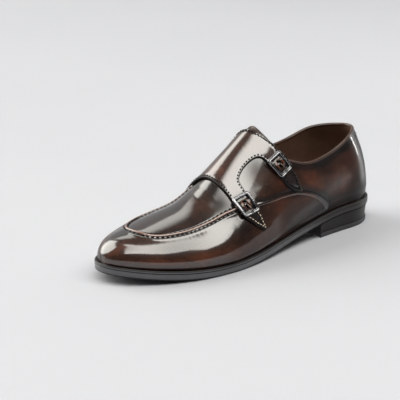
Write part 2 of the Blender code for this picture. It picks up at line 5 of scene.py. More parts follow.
import bpy
import bmesh
import numpy as np
from mathutils import Matrix, Vector
from mathutils.geometry import delaunay_2d_cdt


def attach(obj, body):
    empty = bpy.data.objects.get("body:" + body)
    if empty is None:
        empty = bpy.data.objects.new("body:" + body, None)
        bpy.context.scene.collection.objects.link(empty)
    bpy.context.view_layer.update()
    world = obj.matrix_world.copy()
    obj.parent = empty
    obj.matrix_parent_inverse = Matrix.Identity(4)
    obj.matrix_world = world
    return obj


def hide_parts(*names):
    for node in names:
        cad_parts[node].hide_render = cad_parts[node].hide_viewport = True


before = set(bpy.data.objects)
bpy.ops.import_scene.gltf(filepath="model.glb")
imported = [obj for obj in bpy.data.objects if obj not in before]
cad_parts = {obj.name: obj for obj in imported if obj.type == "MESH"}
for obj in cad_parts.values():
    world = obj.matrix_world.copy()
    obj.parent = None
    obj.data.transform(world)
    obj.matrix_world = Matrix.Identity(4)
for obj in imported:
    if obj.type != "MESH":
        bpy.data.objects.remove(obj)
ORIGIN = np.array([150.0, -1.1917, 0.0])

# ---------------------------------------------------------------- sizes of the shoe, mm (as in its source)
LENGTH, MARGIN = 300.0, 2.5
UP0, UP1 = MARGIN, LENGTH - MARGIN
GAP, WALL, STRAP, TONGUE, INSOLE = 0.3, 2.2, 1.8, 2.4, 3.0
TOE_REACH, TOE_K, HEEL_REACH, HEEL_K = 74.0, 2.2, 44.0, 2.3
BREAST, BREAST_HOLLOW, TOP_PIECE = 85.0, 3.0, 4.2
THROAT = 147.0
BUCKLE_LONG, BUCKLE_WIDE, BAR_WIDE, BAR_THICK = 18.8, 17.2, 2.8, 2.2
FRAME_LOW = 2 * GAP + STRAP
HUMP = 1.8
RADIUS = 45.0
PI = math.pi


class Spline:
    """Natural cubic through a short table."""

    def __init__(self, xs, ys):
        xs, ys = np.asarray(xs, float), np.asarray(ys, float)
        n, h = len(xs), np.diff(xs)
        a, r = np.eye(n), np.zeros(n)
        for i in range(1, n - 1):
            a[i, i - 1 : i + 2] = h[i - 1] / 6, (h[i - 1] + h[i]) / 3, h[i] / 6
            r[i] = (ys[i + 1] - ys[i]) / h[i] - (ys[i] - ys[i - 1]) / h[i - 1]
        self.x, self.y, self.m = xs, ys, np.linalg.solve(a, r)

    def __call__(self, x):
        x = np.asarray(x, float)
        i = np.clip(np.searchsorted(self.x, x) - 1, 0, len(self.x) - 2)
        x0, x1 = self.x[i], self.x[i + 1]
        h = x1 - x0
        a, b = (x1 - x) / h, (x - x0) / h
        return a * self.y[i] + b * self.y[i + 1] + ((a**3 - a) * self.m[i] + (b**3 - b) * self.m[i + 1]) * h * h / 6


def table(*rows):
    columns = list(zip(*rows))
    return [Spline(columns[0], column) for column in columns[1:]]


CENTRE, OUTER, INNER = table(
    (0, 0.0, 31.0, 31.0), (30, 0.0, 32.6, 32.6), (60, 0.5, 32.4, 32.6), (90, 2.0, 32.8, 32.0),
    (120, 3.5, 34.2, 31.5), (150, 4.0, 38.6, 35.0), (180, 3.0, 44.2, 41.5), (205, 1.0, 47.2, 47.0),
    (230, -2.0, 47.4, 48.5), (255, -4.5, 45.2, 46.5), (280, -6.5, 41.0, 41.5), (300, -8.0, 37.0, 37.0))
UNDER, THICK = table(
    (0, 16.0, 7.0), (30, 16.6, 7.0), (60, 15.8, 7.0), (90, 12.4, 7.0), (120, 8.2, 7.0), (150, 4.0, 7.5),
    (180, 0.9, 8.0), (205, -0.25, 8.0), (230, 0.5, 8.0), (255, 2.5, 8.0), (280, 5.6, 8.0), (300, 8.8, 8.0))
CREST = Spline((0, 60, 90, 110, 130, 150, 170, 190, 210, 230, 255, 280, 300),
               (100, 114, 114.5, 113, 107.7, 94.4, 79.5, 64.8, 52.4, 46.8, 41.5, 36.6, 34))
SIDE_POWER, TOP_POWER, SWELL, LEAN = table(
    (0, 2.0, 3.0, 1.0, 0.0), (40, 2.0, 3.0, 2.0, 0.0), (80, 2.0, 2.9, 2.5, 1.0), (120, 1.9, 2.5, 2.5, 4.5),
    (160, 1.8, 2.1, 2.5, 7.0), (200, 1.8, 1.9, 2.5, 4.3), (240, 1.9, 2.0, 2.5, 2.6), (270, 2.0, 2.2, 2.0, 1.2),
    (300, 2.0, 2.4, 1.0, 0.0))
BACK = Spline((-5, 0, 18, 40, 63, 95), (0.3, 0.0, 1.8, 5.0, 13.0, 15.0))
TOP_OUTER, TOP_INNER = table(
    (2.5, 86.4, 86.4), (14, 86.1, 86.2), (28, 84.7, 85.0), (42, 82.1, 82.8), (56, 78.5, 79.9), (70, 74.9, 76.9), (84, 72.2, 74.9),
    (98, 71.0, 74.5), (110, 72.6, 77.0), (119, 75.4, 80.5), (127, 78.6, 85.0), (135, 84.0, 89.8), (142, 91.0, 93.8),
    (THROAT, 96.4, 96.4))


def smooth(t):
    t = np.clip(t, 0.0, 1.0)
    return t * t * t * (t * (6 * t - 15) + 10)


def bell(t):
    return np.exp(-np.square(t))


def end_round(s, reach, k, q):
    r = np.clip(np.asarray(s, float) / reach, 0.0, 1.0)
    return (1.0 - (1.0 - r) ** k) ** (1.0 / q)


def under(x):
    return np.maximum(UNDER(x), 0.0)


def sole_top(x):
    return UNDER(x) + THICK(x)


def feather(x):
    return sole_top(x) + GAP


def upper_point(x, a):
    """The upper's outer face; the angle goes from 0 at the outer side's lower edge over pi/2 at the crest to pi."""
    x, a = np.broadcast_arrays(np.asarray(x, float), np.asarray(a, float))
    side = np.where(a <= PI / 2, 1.0, -1.0)
    th = np.where(a <= PI / 2, a, PI - a)
    xs = (x - UP0) * LENGTH / (UP1 - UP0)
    w = np.where(side > 0, OUTER(xs), INNER(xs)) - MARGIN
    ends = end_round(UP1 - x, TOE_REACH, TOE_K, 2.0) * end_round(x - UP0, HEEL_REACH, HEEL_K, 2.0)
    h = (CREST(x) - feather(x)) * end_round(UP1 - x, 26.0, 3.0, TOP_POWER(UP1))
    t = np.maximum(np.sin(th), 0) ** (2 / TOP_POWER(x))
    g = np.maximum(np.cos(th), 0) ** (2 / SIDE_POWER(x))
    foot = 1.5 * smooth((205 - x) / 60) * (1 - smooth((th - 0.06) / 0.36)) * smooth(th / 0.06)
    y = CENTRE(xs) + (side * (w * g + foot + SWELL(x) * 6.75 * t * (1 - t) ** 2) - LEAN(x) * t * t) * ends
    back = 1 - smooth((x - UP0) / 75.0)
    return np.stack([x + BACK(h * t) * back, y, feather(x) + h * t], -1)


def upper_normal(x, a):
    x, a = np.broadcast_arrays(np.asarray(x, float), np.asarray(a, float))
    xc, ac = np.clip(x, UP0 + 0.02, UP1 - 0.02), np.clip(a, 0.004, PI - 0.004)
    du = upper_point(xc + 0.01, ac) - upper_point(xc - 0.01, ac)
    dv = upper_point(xc, ac + 0.003) - upper_point(xc, ac - 0.003)
    n = np.cross(dv, du)
    return n / np.linalg.norm(n, axis=-1, keepdims=True)


def on_upper(x, a, off):
    return upper_point(x, a) + np.asarray(off)[..., None] * upper_normal(x, a)


def angle_at(x, z, side):
    t = np.clip((z - feather(x)) / (CREST(x) - feather(x)), 0, 1)
    th = np.arcsin(t ** (TOP_POWER(x) / 2))
    return np.where(side > 0, th, PI - th)


def top_angle(x, side):
    """Angle of the top line at x, on the outer (1) or inner (-1) side."""
    x = np.asarray(x, float)
    a = angle_at(x, TOP_OUTER(x) if side > 0 else TOP_INNER(x), side)
    a = np.minimum(a, PI / 2 - 0.02) if side > 0 else np.maximum(a, PI / 2 + 0.02)
    return np.where(x >= THROAT - 1e-9, PI / 2, a)


def unit(v):
    return v / np.maximum(np.linalg.norm(v, axis=-1, keepdims=True), 1e-12)


# length along the wall from the back line, for charts that stay even round the heel
_x = UP0 + (200 - UP0) * np.linspace(0, 1, 3000) ** 2
_s = np.concatenate([[0], np.cumsum(np.linalg.norm(np.diff(upper_point(_x, 0.45), axis=0), axis=1))])


def s_of(x):
    return np.interp(x, _x, _s)


def x_of(s):
    return np.interp(s, _s, _x)


class Patch:
    """A local chart about a point of the upper: u along the strap's leg towards its tip, v across it."""

    def __init__(self, x, a, turn):
        self.x, self.a = x, a
        self.at, self.n = upper_point(x, a), upper_normal(x, a)
        down = upper_point(x, a - 0.01) - self.at
        down -= self.n * (down @ self.n)
        down /= np.linalg.norm(down)
        side = np.cross(self.n, down)
        self.u = math.cos(turn) * down + math.sin(turn) * side
        self.v = np.cross(self.n, self.u)

    def solve(self, u, v):
        u, v = np.broadcast_arrays(np.asarray(u, float), np.asarray(v, float))
        x, a = np.full(u.shape, self.x), np.full(u.shape, self.a)
        for _ in range(12):
            p = upper_point(x, a) - self.at
            px, pa = upper_point(x + 0.02, a) - self.at, upper_point(x, a + 0.0005) - self.at
            j = [[((q - p) @ w) / h for q, h in ((px, 0.02), (pa, 0.0005))] for w in (self.u, self.v)]
            ru, rv = u - p @ self.u, v - p @ self.v
            det = j[0][0] * j[1][1] - j[0][1] * j[1][0]
            x = x + np.clip((ru * j[1][1] - rv * j[0][1]) / det, -8, 8)
            a = a + np.clip((rv * j[0][0] - ru * j[1][0]) / det, -0.2, 0.2)
        return x, a

    def place(self, u, v, off):
        u, v, off = np.broadcast_arrays(np.asarray(u, float), np.asarray(v, float), np.asarray(off, float))
        x, a = self.solve(u, v)
        return on_upper(x, a, off)

    def local(self, x, a):
        p = upper_point(x, a) - self.at
        return p @ self.u, p @ self.v


LOWER = Patch(179.0, 0.691, 0.19)
UPPER = Patch(134.8, 0.684, 0.454)


# ---------------------------------------------------------------- lines and flat regions
def curve(points, step, corners=(0,)):
    """A smooth closed line through a few points of a chart, broken at the corners, cut into even steps."""
    points = np.asarray(points, float)
    n, out = len(points), []
    breaks = sorted(corners)
    for k, b in enumerate(breaks):
        e = breaks[(k + 1) % len(breaks)]
        run = np.array([points[i % n] for i in range(b, e + 1 if e > b else e + n + 1)])
        d = np.concatenate([[0], np.cumsum(np.linalg.norm(np.diff(run, axis=0), axis=1))])
        count = max(int(round(d[-1] / step)), 1)
        t = np.linspace(0, d[-1], count + 1)[:-1]
        if len(run) == 2:
            out += [run[0] + (run[1] - run[0]) * s / d[-1] for s in t]
        else:
            u, v = Spline(d, run[:, 0]), Spline(d, run[:, 1])
            out += list(np.stack([u(t), v(t)], 1))
    return np.array(out)


def open_curve(points, step):
    """A smooth open line through a few points, cut into even steps."""
    points = np.asarray(points, float)
    d = np.concatenate([[0], np.cumsum(np.linalg.norm(np.diff(points, axis=0), axis=1))])
    t = np.linspace(0, d[-1], max(int(round(d[-1] / step)), 2) + 1)
    return np.stack([Spline(d, c)(t) for c in points.T], 1)


def within(points, loop):
    inside = np.zeros(len(points), bool)
    for a, b in zip(loop, np.roll(loop, -1, axis=0)):
        cross = (a[1] > points[:, 1]) != (b[1] > points[:, 1])
        at = a[0] + (points[:, 1] - a[1]) * (b[0] - a[0]) / (b[1] - a[1] if b[1] != a[1] else 1e-12)
        inside ^= cross & (points[:, 0] < at)
    return inside


def edge_distance(points, loops):
    best = np.full(len(points), 1e9)
    for loop in loops:
        for a, b in zip(loop, np.roll(loop, -1, axis=0)):
            d = b - a
            t = np.clip(((points - a) @ d) / max(d @ d, 1e-12), 0, 1)
            best = np.minimum(best, np.linalg.norm(points - a - t[:, None] * d, axis=1))
    return best


def inset(loop, d, hole=False):
    """The loop's points moved to its inner side by d."""
    area = np.sum(loop[:, 0] * np.roll(loop[:, 1], -1) - np.roll(loop[:, 0], -1) * loop[:, 1])
    t = unit(np.roll(loop, -1, axis=0) - np.roll(loop, 1, axis=0))
    n = np.stack([-t[:, 1], t[:, 0]], 1) * (1 if area > 0 else -1) * (-1 if hole else 1)
    return loop + n * d


def region(loops, step, rims):
    """Points, triangles and distance to the edge, for a flat region with rows of points along its edges."""
    rows = []
    for k, loop in enumerate(loops):
        for d in rims:
            p = inset(loop, d, k > 0)
            keep = within(p, loops[0]) & (edge_distance(p, loops) > 0.93 * d)
            for hole in loops[1:]:
                keep &= ~within(p, hole)
            rows.append(p[keep])
    low, high = loops[0].min(axis=0), loops[0].max(axis=0)
    ys = np.arange(low[1] + step * 0.5, high[1], step * 0.87)
    grid = np.array([(x + (k % 2) * step / 2, y) for k, y in enumerate(ys) for x in np.arange(low[0], high[0], step)])
    keep = within(grid, loops[0])
    for hole in loops[1:]:
        keep &= ~within(grid, hole)
    grid = grid[keep]
    rows.append(grid[edge_distance(grid, loops) > (rims[-1] if len(rims) else 0) + 0.6 * step])
    points, edges = [], []
    for loop in loops:
        start = len(points)
        points += [tuple(p) for p in loop]
        edges += [(start + i, start + (i + 1) % len(loop)) for i in range(len(loop))]
    points += [tuple(p) for p in np.concatenate(rows)]
    made = delaunay_2d_cdt([Vector(p) for p in points], edges, [], 0, 1e-6)
    flat = np.array([tuple(p) for p in made[0]])
    faces = np.array([tuple(f) for f in made[2]])
    middle = flat[faces].mean(axis=1)
    keep = within(middle, loops[0])
    for hole in loops[1:]:
        keep &= ~within(middle, hole)
    faces = faces[keep]
    a, b, c = flat[faces[:, 0]], flat[faces[:, 1]], flat[faces[:, 2]]
    turn = (b[:, 0] - a[:, 0]) * (c[:, 1] - a[:, 1]) - (b[:, 1] - a[:, 1]) * (c[:, 0] - a[:, 0])
    faces = np.where((turn < 0)[:, None], faces[:, ::-1], faces)
    return flat, faces, edge_distance(flat, loops)


# ---------------------------------------------------------------- pieces
def piece(name, points, faces, materials, stands_for=(), attrs=None, which=None, angle=50, keep_normals=False):
    """One closed mesh riding on the shoe. Coincident points are merged and collapsed faces dropped."""
    points = np.asarray(points, float)
    _, first, index = np.unique(np.round(points, 4), axis=0, return_index=True, return_inverse=True)
    index = index.reshape(-1)
    kept, chosen = [], []
    for k, face in enumerate(faces):
        ring = [int(index[i]) for i in face]
        ring = [v for m, v in enumerate(ring) if v != ring[m - 1]]
        if len(ring) >= 3 and len(set(ring)) == len(ring):
            kept.append(ring)
            chosen.append(0 if which is None else int(which[k]))
    mesh = bpy.data.meshes.new(name)
    mesh.from_pydata(((points[first] - ORIGIN) * 0.001).tolist(), [], kept)
    for key, values in (attrs or {}).items():
        layer = mesh.attributes.new(key, "FLOAT", "POINT")
        layer.data.foreach_set("value", np.asarray(values, np.float32)[first])
    materials = materials if isinstance(materials, (list, tuple)) else [materials]
    for material in materials:
        mesh.materials.append(material)
    mesh.polygons.foreach_set("material_index", chosen)
    if not keep_normals:
        work = bmesh.new()
        work.from_mesh(mesh)
        bmesh.ops.recalc_face_normals(work, faces=work.faces)
        if work.calc_volume(signed=True) < 0:
            bmesh.ops.reverse_faces(work, faces=work.faces)
        work.to_mesh(mesh)
        work.free()
    mesh.shade_smooth()
    if angle:
        mesh.set_sharp_from_angle(angle=math.radians(angle))
    thing = bpy.data.objects.new(name, mesh)
    bpy.context.scene.collection.objects.link(thing)
    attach(thing, "root")
    if stands_for:
        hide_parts(*stands_for)
    return thing


def grid_faces(n, m, start=0, ring=False):
    j1 = m if ring else m - 1
    return [(start + i * m + j, start + (i + 1) * m + j, start + (i + 1) * m + (j + 1) % m, start + i * m + (j + 1) % m)
            for i in range(n - 1) for j in range(j1)]


def sheet_piece(name, loops, step, rims, place, low, high, material, stands_for=(), attrs=None, angle=50):
    """A closed leather piece over a flat region of a chart: place(points, off) puts it on the shoe."""
    flat, faces, rim = region(loops, step, rims)
    below, above = place(flat, low(flat, rim)), place(flat, high(flat, rim))
    n = len(flat)
    made = [tuple(f + n) for f in faces] + [tuple(f[::-1]) for f in faces]
    edges = {(p, q) for f in faces.tolist() for p, q in ((f[0], f[1]), (f[1], f[2]), (f[2], f[0]))}
    made += [(p, q, q + n, p + n) for p, q in edges if (q, p) not in edges]
    values = {"rim": np.concatenate([rim, rim])}
    for key, f in (attrs or {}).items():
        v = f(flat, rim)
        values[key] = np.concatenate([v, v])
    return piece(name, np.concatenate([below, above]), made, material, stands_for, values, angle=angle)


def frames(path, normals, closed=False):
    """Tangent, normal and side along a path of 3-D points."""
    d = np.roll(path, -1, axis=0) - np.roll(path, 1, axis=0) if closed else np.gradient(path, axis=0)
    t = unit(d)
    n = unit(normals - (normals * t).sum(-1, keepdims=True) * t)
    return t, n, np.cross(t, n)


def sweep(path, normals, section, closed=False, scale=None):
    """Points and faces of a bar with the section (side, height) along a path. section may be one list or one per point."""
    _, n, b = frames(path, normals, closed)
    section = np.asarray(section, float)
    if section.ndim == 2:
        section = np.broadcast_to(section, (len(path),) + section.shape)
    if scale is not None:
        section = section * np.asarray(scale)[:, None, None]
    p = path[:, None] + section[..., :1] * b[:, None] + section[..., 1:] * n[:, None]
    count, m = p.shape[:2]
    faces = grid_faces(count, m, 0, True)
    if closed:
        faces += [((count - 1) * m + j, j, (j + 1) % m, (count - 1) * m + (j + 1) % m) for j in range(m)]
    else:
        faces += [tuple(range(m)), tuple((count - 1) * m + j for j in range(m))[::-1]]
    return p.reshape(-1, 3), faces


def joined(parts):
    points, faces, start = [], [], 0
    for p, f in parts:
        points.append(p)
        faces += [tuple(i + start for i in face) for face in f]
        start += len(p)
    return np.concatenate(points), faces


def oval(half_wide, half_high, n=10, low=None, power=1.0):
    """A rounded section; low cuts it off below."""
    t = np.arange(n) / n * 2 * PI
    c, s = np.cos(t), np.sin(t)
    z = half_high * np.sign(s) * np.abs(s) ** power
    if low is not None:
        z = np.maximum(z, low)
    return np.stack([half_wide * np.sign(c) * np.abs(c) ** power, z], 1)


def even(path, step):
    """A 3-D path cut into even steps; gives fractions for interpolating what goes with it."""
    d = np.concatenate([[0], np.cumsum(np.linalg.norm(np.diff(path, axis=0), axis=1))])
    count = max(int(round(d[-1] / step)), 1)
    return np.linspace(0, d[-1], count + 1), d


def stitches(x, a, off, pitch=2.9, fill=0.8, radius=0.34, sink=0.0, keep=None):
    """Thread that shows as short rounded lengths along a line of the upper."""
    x, a = np.asarray(x, float), np.asarray(a, float)
    off = np.broadcast_to(np.asarray(off, float), x.shape)
    path = on_upper(x, a, off)
    d = np.concatenate([[0], np.cumsum(np.linalg.norm(np.diff(path, axis=0), axis=1))])
    count = int(d[-1] / pitch)
    if count < 1:
        return []
    out = []
    rise = np.array([-1.5, -0.25, 0.35, 0.5, 0.35, -0.25, -1.5]) * radius
    width = np.array([0.45, 0.85, 1.0, 1.0, 1.0, 0.85, 0.45]) * radius
    spots = np.array([-0.5, -0.4, -0.22, 0, 0.22, 0.4, 0.5]) * fill
    for k in range(count):
        s = (k + 0.5 + spots) * d[-1] / count
        xs, as_, os_ = np.interp(s, d, x), np.interp(s, d, a), np.interp(s, d, off)
        if keep is not None and not keep(xs[3], as_[3]):
            continue
        p, n = on_upper(xs, as_, os_), upper_normal(xs, as_)
        ring = np.array([(math.cos(t), math.sin(t)) for t in np.arange(6) * PI / 3])
        section = width[:, None, None] * ring[None]
        section[..., 1] += (rise - sink)[:, None]
        out.append(sweep(p, n, section))
    return out


# ---------------------------------------------------------------- materials
class Finish:
    """A material with a Principled shader, and short ways to add nodes to it."""

    def __init__(self, name, **values):
        self.material = bpy.data.materials.new(name)
        self.material.use_nodes = True
        self.tree = self.material.node_tree
        self.shader = self.tree.nodes["Principled BSDF"]
        self.set(**values)

    def set(self, **values):
        for key, value in values.items():
            socket = self.shader.inputs[key.replace("_", " ").title().replace("Ior", "IOR")]
            if isinstance(value, bpy.types.NodeSocket):
                self.tree.links.new(value, socket)
            else:
                socket.default_value = value

    def add(self, kind, inputs=None, out=0, **props):
        node = self.tree.nodes.new(kind)
        for key, value in props.items():
            setattr(node, key, value)
        for key, value in (inputs or {}).items():
            if isinstance(value, bpy.types.NodeSocket):
                self.tree.links.new(value, node.inputs[key])
            else:
                node.inputs[key].default_value = value
        return node.outputs[out]

    def place(self, scale=(1, 1, 1)):
        return self.add("ShaderNodeMapping", {"Vector": self.add("ShaderNodeTexCoord", out="Object"), "Scale": scale})

    def noise(self, scale, detail=3.0, roughness=0.5, distortion=0.0, stretch=(1, 1, 1)):
        return self.add("ShaderNodeTexNoise", {"Vector": self.place(stretch), "Scale": scale, "Detail": detail,
                                               "Roughness": roughness, "Distortion": distortion}, out="Fac")

    def attribute(self, name):
        return self.add("ShaderNodeAttribute", out="Fac", attribute_name=name)

    def math(self, operation, a, b=0.0, c=0.0, clamp=False):
        node = self.tree.nodes.new("ShaderNodeMath")
        node.operation, node.use_clamp = operation, clamp
        for k, value in enumerate((a, b, c)):
            if isinstance(value, bpy.types.NodeSocket):
                self.tree.links.new(value, node.inputs[k])
            else:
                node.inputs[k].default_value = value
        return node.outputs[0]

    def ramp(self, fac, *stops):
        node = self.tree.nodes.new("ShaderNodeValToRGB")
        self.tree.links.new(fac, node.inputs[0])
        ramp = node.color_ramp
        while len(ramp.elements) < len(stops):
            ramp.elements.new(0.5)
        for element, (at, colour) in zip(ramp.elements, stops):
            element.position, element.color = at, (*colour, 1)
        return node.outputs[0]

    def remap(self, value, a, b, c=0.0, d=1.0):
        return self.add("ShaderNodeMapRange", {"Value": value, "From Min": a, "From Max": b, "To Min": c, "To Max": d})

    def mix(self, fac, a, b):
        node = self.tree.nodes.new("ShaderNodeMix")
        node.data_type = "RGBA"
        for socket, value in ((node.inputs[0], fac), (node.inputs[6], a), (node.inputs[7], b)):
            if isinstance(value, bpy.types.NodeSocket):
                self.tree.links.new(value, socket)
            else:
                socket.default_value = value if isinstance(value, float) else (*value, 1)
        return node.outputs[2]

    def bump(self, height, distance, strength=1.0, normal=None):
        inputs = {"Height": height, "Distance": distance, "Strength": strength}
        if normal is not None:
            inputs["Normal"] = normal
        return self.add("ShaderNodeBump", inputs)


def burnished(name, dark, mid, red, edge, contrast=0.72, grain=0.00004, coat_roughness=0.105, roughness=0.4, coat=1.0):
    """Brushed-off leather: a dark finish through which the reddish base shows in clouds, under a hard shine."""
    f = Finish(name, Roughness=roughness, Coat_Weight=1.0, Coat_Roughness=coat_roughness, Coat_IOR=1.8, IOR=1.4,
               Specular_IOR_Level=0.2)
    clouds = f.noise(42, 4.0, 0.6, 0.5, (1, 1, 1.5))
    streaks = f.noise(150, 3.0, 0.6, 0.3, (0.6, 1, 1.4))
    tone = f.math("MULTIPLY_ADD", f.math("SUBTRACT", clouds, 0.5), contrast * 1.6, f.attribute("tone"))
    tone = f.math("MULTIPLY_ADD", f.math("SUBTRACT", streaks, 0.5), contrast * 0.5, tone, True)
    colour = f.ramp(tone, (0.0, dark), (0.5, mid), (1.0, red))
    pores = f.noise(2600, 2.0, 0.5)
    colour = f.mix(f.remap(pores, 0.3, 0.75, 0.0, 0.16), colour, tuple(c * 0.4 for c in dark))
    # painted highlight: a tan patch standing in for the reflection on the strap inside each buckle window
    colour = f.mix(f.attribute("painted_highlight"), colour, (0.27, 0.110, 0.062))
    # near-black mix: edge ink, dark strap tips and dark stitch lines, and painted shade round and under the buckle
    # frames, in the prong holes and at the apron ridge's foot
    colour = f.mix(f.attribute("ink_and_shade"), colour, (0.006, 0.0055, 0.006))
    colour = f.mix(f.remap(f.attribute("rim"), 0.25, 0.75), edge, colour)
    f.set(Base_Color=colour)
    f.set(Coat_Weight=f.math("MULTIPLY", f.remap(f.attribute("rim"), 0.5, 1.3, 0.06, 1.0),
                             f.math("SUBTRACT", coat, f.attribute("dull"))))
    f.set(Roughness=f.remap(clouds, 0.2, 0.8, roughness - 0.07, roughness + 0.07))
    f.set(Normal=f.bump(f.noise(1500, 3.0, 0.6), grain * 2, 0.5))
    f.set(Coat_Normal=f.bump(f.noise(260, 2.0, 0.5), grain, 0.6))
    return f.material


DARK, MID, RED = (0.0062, 0.0029, 0.0022), (0.033, 0.0118, 0.0070), (0.108, 0.0325, 0.0150)
leather = burnished("leather_burnished", DARK, MID, RED, (0.005, 0.0035, 0.003))
strap_leather = burnished("leather_strap", DARK, MID, RED, (0.005, 0.0035, 0.003), contrast=0.6)
ridge_leather = burnished("leather_ridge", (0.026, 0.012, 0.009), (0.085, 0.041, 0.030), (0.215, 0.118, 0.088), (0.01, 0.006, 0.005),
                          contrast=0.5, coat_roughness=0.12)
binding_leather = burnished("leather_binding", (0.012, 0.0055, 0.004), (0.045, 0.019, 0.011), (0.10, 0.042, 0.022),
                            (0.012, 0.006, 0.004), contrast=0.6, coat_roughness=0.22, roughness=0.5, coat=0.35)


def plain(name, colours, roughness, scale=900.0, bump=0.00004, strength=0.6, **more):
    f = Finish(name, **more)
    spots = f.noise(scale, 4.0, 0.6)
    broad = f.noise(scale / 14, 3.0, 0.5)
    colour = f.mix(f.remap(f.math("MULTIPLY_ADD", broad, 0.6, f.math("MULTIPLY", spots, 0.4)), 0.3, 0.7), colours[0], colours[1])
    if len(colours) > 2:
        colour = f.mix(f.attribute("shade"), colour, colours[2])
    f.set(Base_Color=colour)
    f.set(Roughness=f.remap(spots, 0.2, 0.8, roughness - 0.06, roughness + 0.06))
    f.set(Normal=f.bump(spots, bump, strength))
    return f.material


lining = plain("leather_lining", ((0.060, 0.030, 0.018), (0.105, 0.055, 0.033)), 0.62, 1400)
sock = plain("leather_sock", ((0.115, 0.058, 0.032), (0.17, 0.088, 0.05)), 0.6, 1400)
rubber = plain("rubber_charcoal", ((0.062, 0.063, 0.069), (0.076, 0.077, 0.085), (0.009, 0.0078, 0.0078)), 0.42, 1600, 0.00003)
rubber_dark = plain("rubber_black", ((0.0060, 0.0048, 0.0046), (0.0095, 0.0078, 0.0075)), 0.42, 1200, 0.00002, Coat_Weight=0.08, Specular_IOR_Level=0.22,
                    Coat_Roughness=0.25)
rubber_lift = plain("rubber_lift", ((0.024, 0.023, 0.026), (0.034, 0.033, 0.037)), 0.45, 1600, 0.00003, Specular_IOR_Level=0.3)
thread_dark = plain("thread_dark", ((0.004, 0.003, 0.003), (0.008, 0.006, 0.005)), 0.8, 5000, 0.00005, Specular_IOR_Level=0.15)
thread_cream = plain("thread_cream", ((0.50, 0.40, 0.30), (0.66, 0.56, 0.44)), 0.65, 5000, 0.00005)
elastic = plain("elastic_black", ((0.008, 0.007, 0.007), (0.016, 0.014, 0.013)), 0.7, 3000, 0.00006)
edge_light = plain("leather_edge_light", ((0.16, 0.085, 0.055), (0.24, 0.14, 0.09)), 0.4, 1500, Coat_Weight=0.4,
                   Coat_Roughness=0.2)


def gunmetal(name, base, roughness):
    f = Finish(name, Metallic=1.0)
    marks = f.noise(700, 4.0, 0.65, 0.2, (1, 3, 1))
    f.set(Base_Color=f.mix(f.remap(marks, 0.3, 0.7), base, tuple(c * 1.35 for c in base)))
    f.set(Roughness=f.remap(marks, 0.2, 0.8, roughness - 0.04, roughness + 0.07))
    f.set(Normal=f.bump(marks, 0.00001, 0.3))
    return f.material


metal = gunmetal("metal_gunmetal", (0.15, 0.15, 0.157), 0.09)
metal_pin = gunmetal("metal_pin", (0.115, 0.092, 0.082), 0.22)
metal_bright = gunmetal("metal_edge", (0.42, 0.42, 0.43), 0.14)

# ---------------------------------------------------------------- tone of the burnish, placed one by one
SPOTS = (  # section, angle, size along and across (mm), strength: above zero reddish, below zero dark
    (293, 0.92, 13, 16, 0.50), (280, 1.14, 10, 10, 0.15), (268, 0.83, 20, 7, 0.22), (207, 1.27, 14, 12, 0.34),
    (190, 0.88, 9, 12, -0.25), (184, 1.5, 8, 40, -0.30), (235, 1.35, 18, 14, -0.10), (138, 0.50, 10, 7, 0.22), (158, 0.72, 7, 7, 0.12),
    (150, 0.75, 7, 7, 0.10), (144, 0.26, 18, 6, 0.34), (116, 0.15, 14, 5, 0.15), (107, 0.375, 10, 7, 0.30),
    (96, 0.226, 10, 6, 0.28), (67, 0.31, 13, 9, 0.36), (54, 0.14, 12, 6, 0.32), (40, 0.32, 8, 14, 0.10),
    (166, 0.417, 8, 6, -0.15), (227, 0.30, 26, 6, 0.22), (260, 0.24, 20, 6, 0.22), (190, 0.36, 10, 10, -0.12),
    (207, 2.2, 20, 12, 0.3), (150, 2.6, 22, 12, 0.38), (122, 2.3, 16, 9, 0.25), (100, 2.75, 20, 10, 0.36), (66, 2.5, 14, 10, 0.28), (60, 2.9, 16, 9, 0.32),
    (38, 2.6, 10, 12, 0.22), (180, 2.8, 18, 8, 0.26), (236, 2.7, 20, 8, 0.26), (285, 2.2, 14, 16, 0.3))


DULL = (  # section, angle, size along and across (mm), how much of the shine is lost
    (194, 0.92, 9, 8, 0.50), (201, 1.04, 9, 7, 0.45), (190, 0.74, 6, 6, 0.30), (192, 1.22, 8, 9, 0.5), (211, 1.5, 12, 8, 0.2), (157, 0.87, 9, 10, 0.74),
    (208, 0.98, 12, 5, 0.4), (246, 0.56, 24, 12, 0.34), (286, 0.80, 10, 8, 0.42), (262, 0.62, 16, 9, 0.12), (150, 0.80, 6, 8, 0.15))


def dull_at(x, a):
    low = smooth((165 - x) / 30) * (1 - smooth((a - 0.42) / 0.25)) * smooth((a + 0.02) / 0.05)
    low = low * (1 - 0.6 * bell((x - 110) / 24) * bell((a - 0.078) / 0.035)) * (1 - 0.95 * bell((x - 27) / 5.5) * smooth((a - 0.05) / 0.1))
    low = np.maximum(low, 0.55 * smooth((218 - x) / 24) * (1 - smooth((a - 0.26) / 0.16)) * smooth((a - 0.02) / 0.05) * (x > 100))
    low = np.where(a > PI / 2, 0.95 * (1 - smooth((PI - a - 0.80) / 0.5)) * (1 - 0.45 * bell((PI - a - 0.44) / 0.10)), low)
    out = 0.88 * low * (1 - 0.6 * np.exp(-((a - 0.13 - 0.0012 * (75 - x)) * RADIUS / 2.2) ** 2) * bell((x - 58) / 26))
    out = out + 0.9 * (1 - smooth((x - 19) / 4.5)) * smooth((a - 0.02) / 0.05) + 0.45 * bell((x - 41) / 7) * (a < PI / 2)
    for sx, sa, wx, wa, k in DULL:
        out = out + k * np.exp(-((x - sx) / wx) ** 2 - ((a - sa) * RADIUS / wa) ** 2)
    return np.clip(out, 0, 0.93)


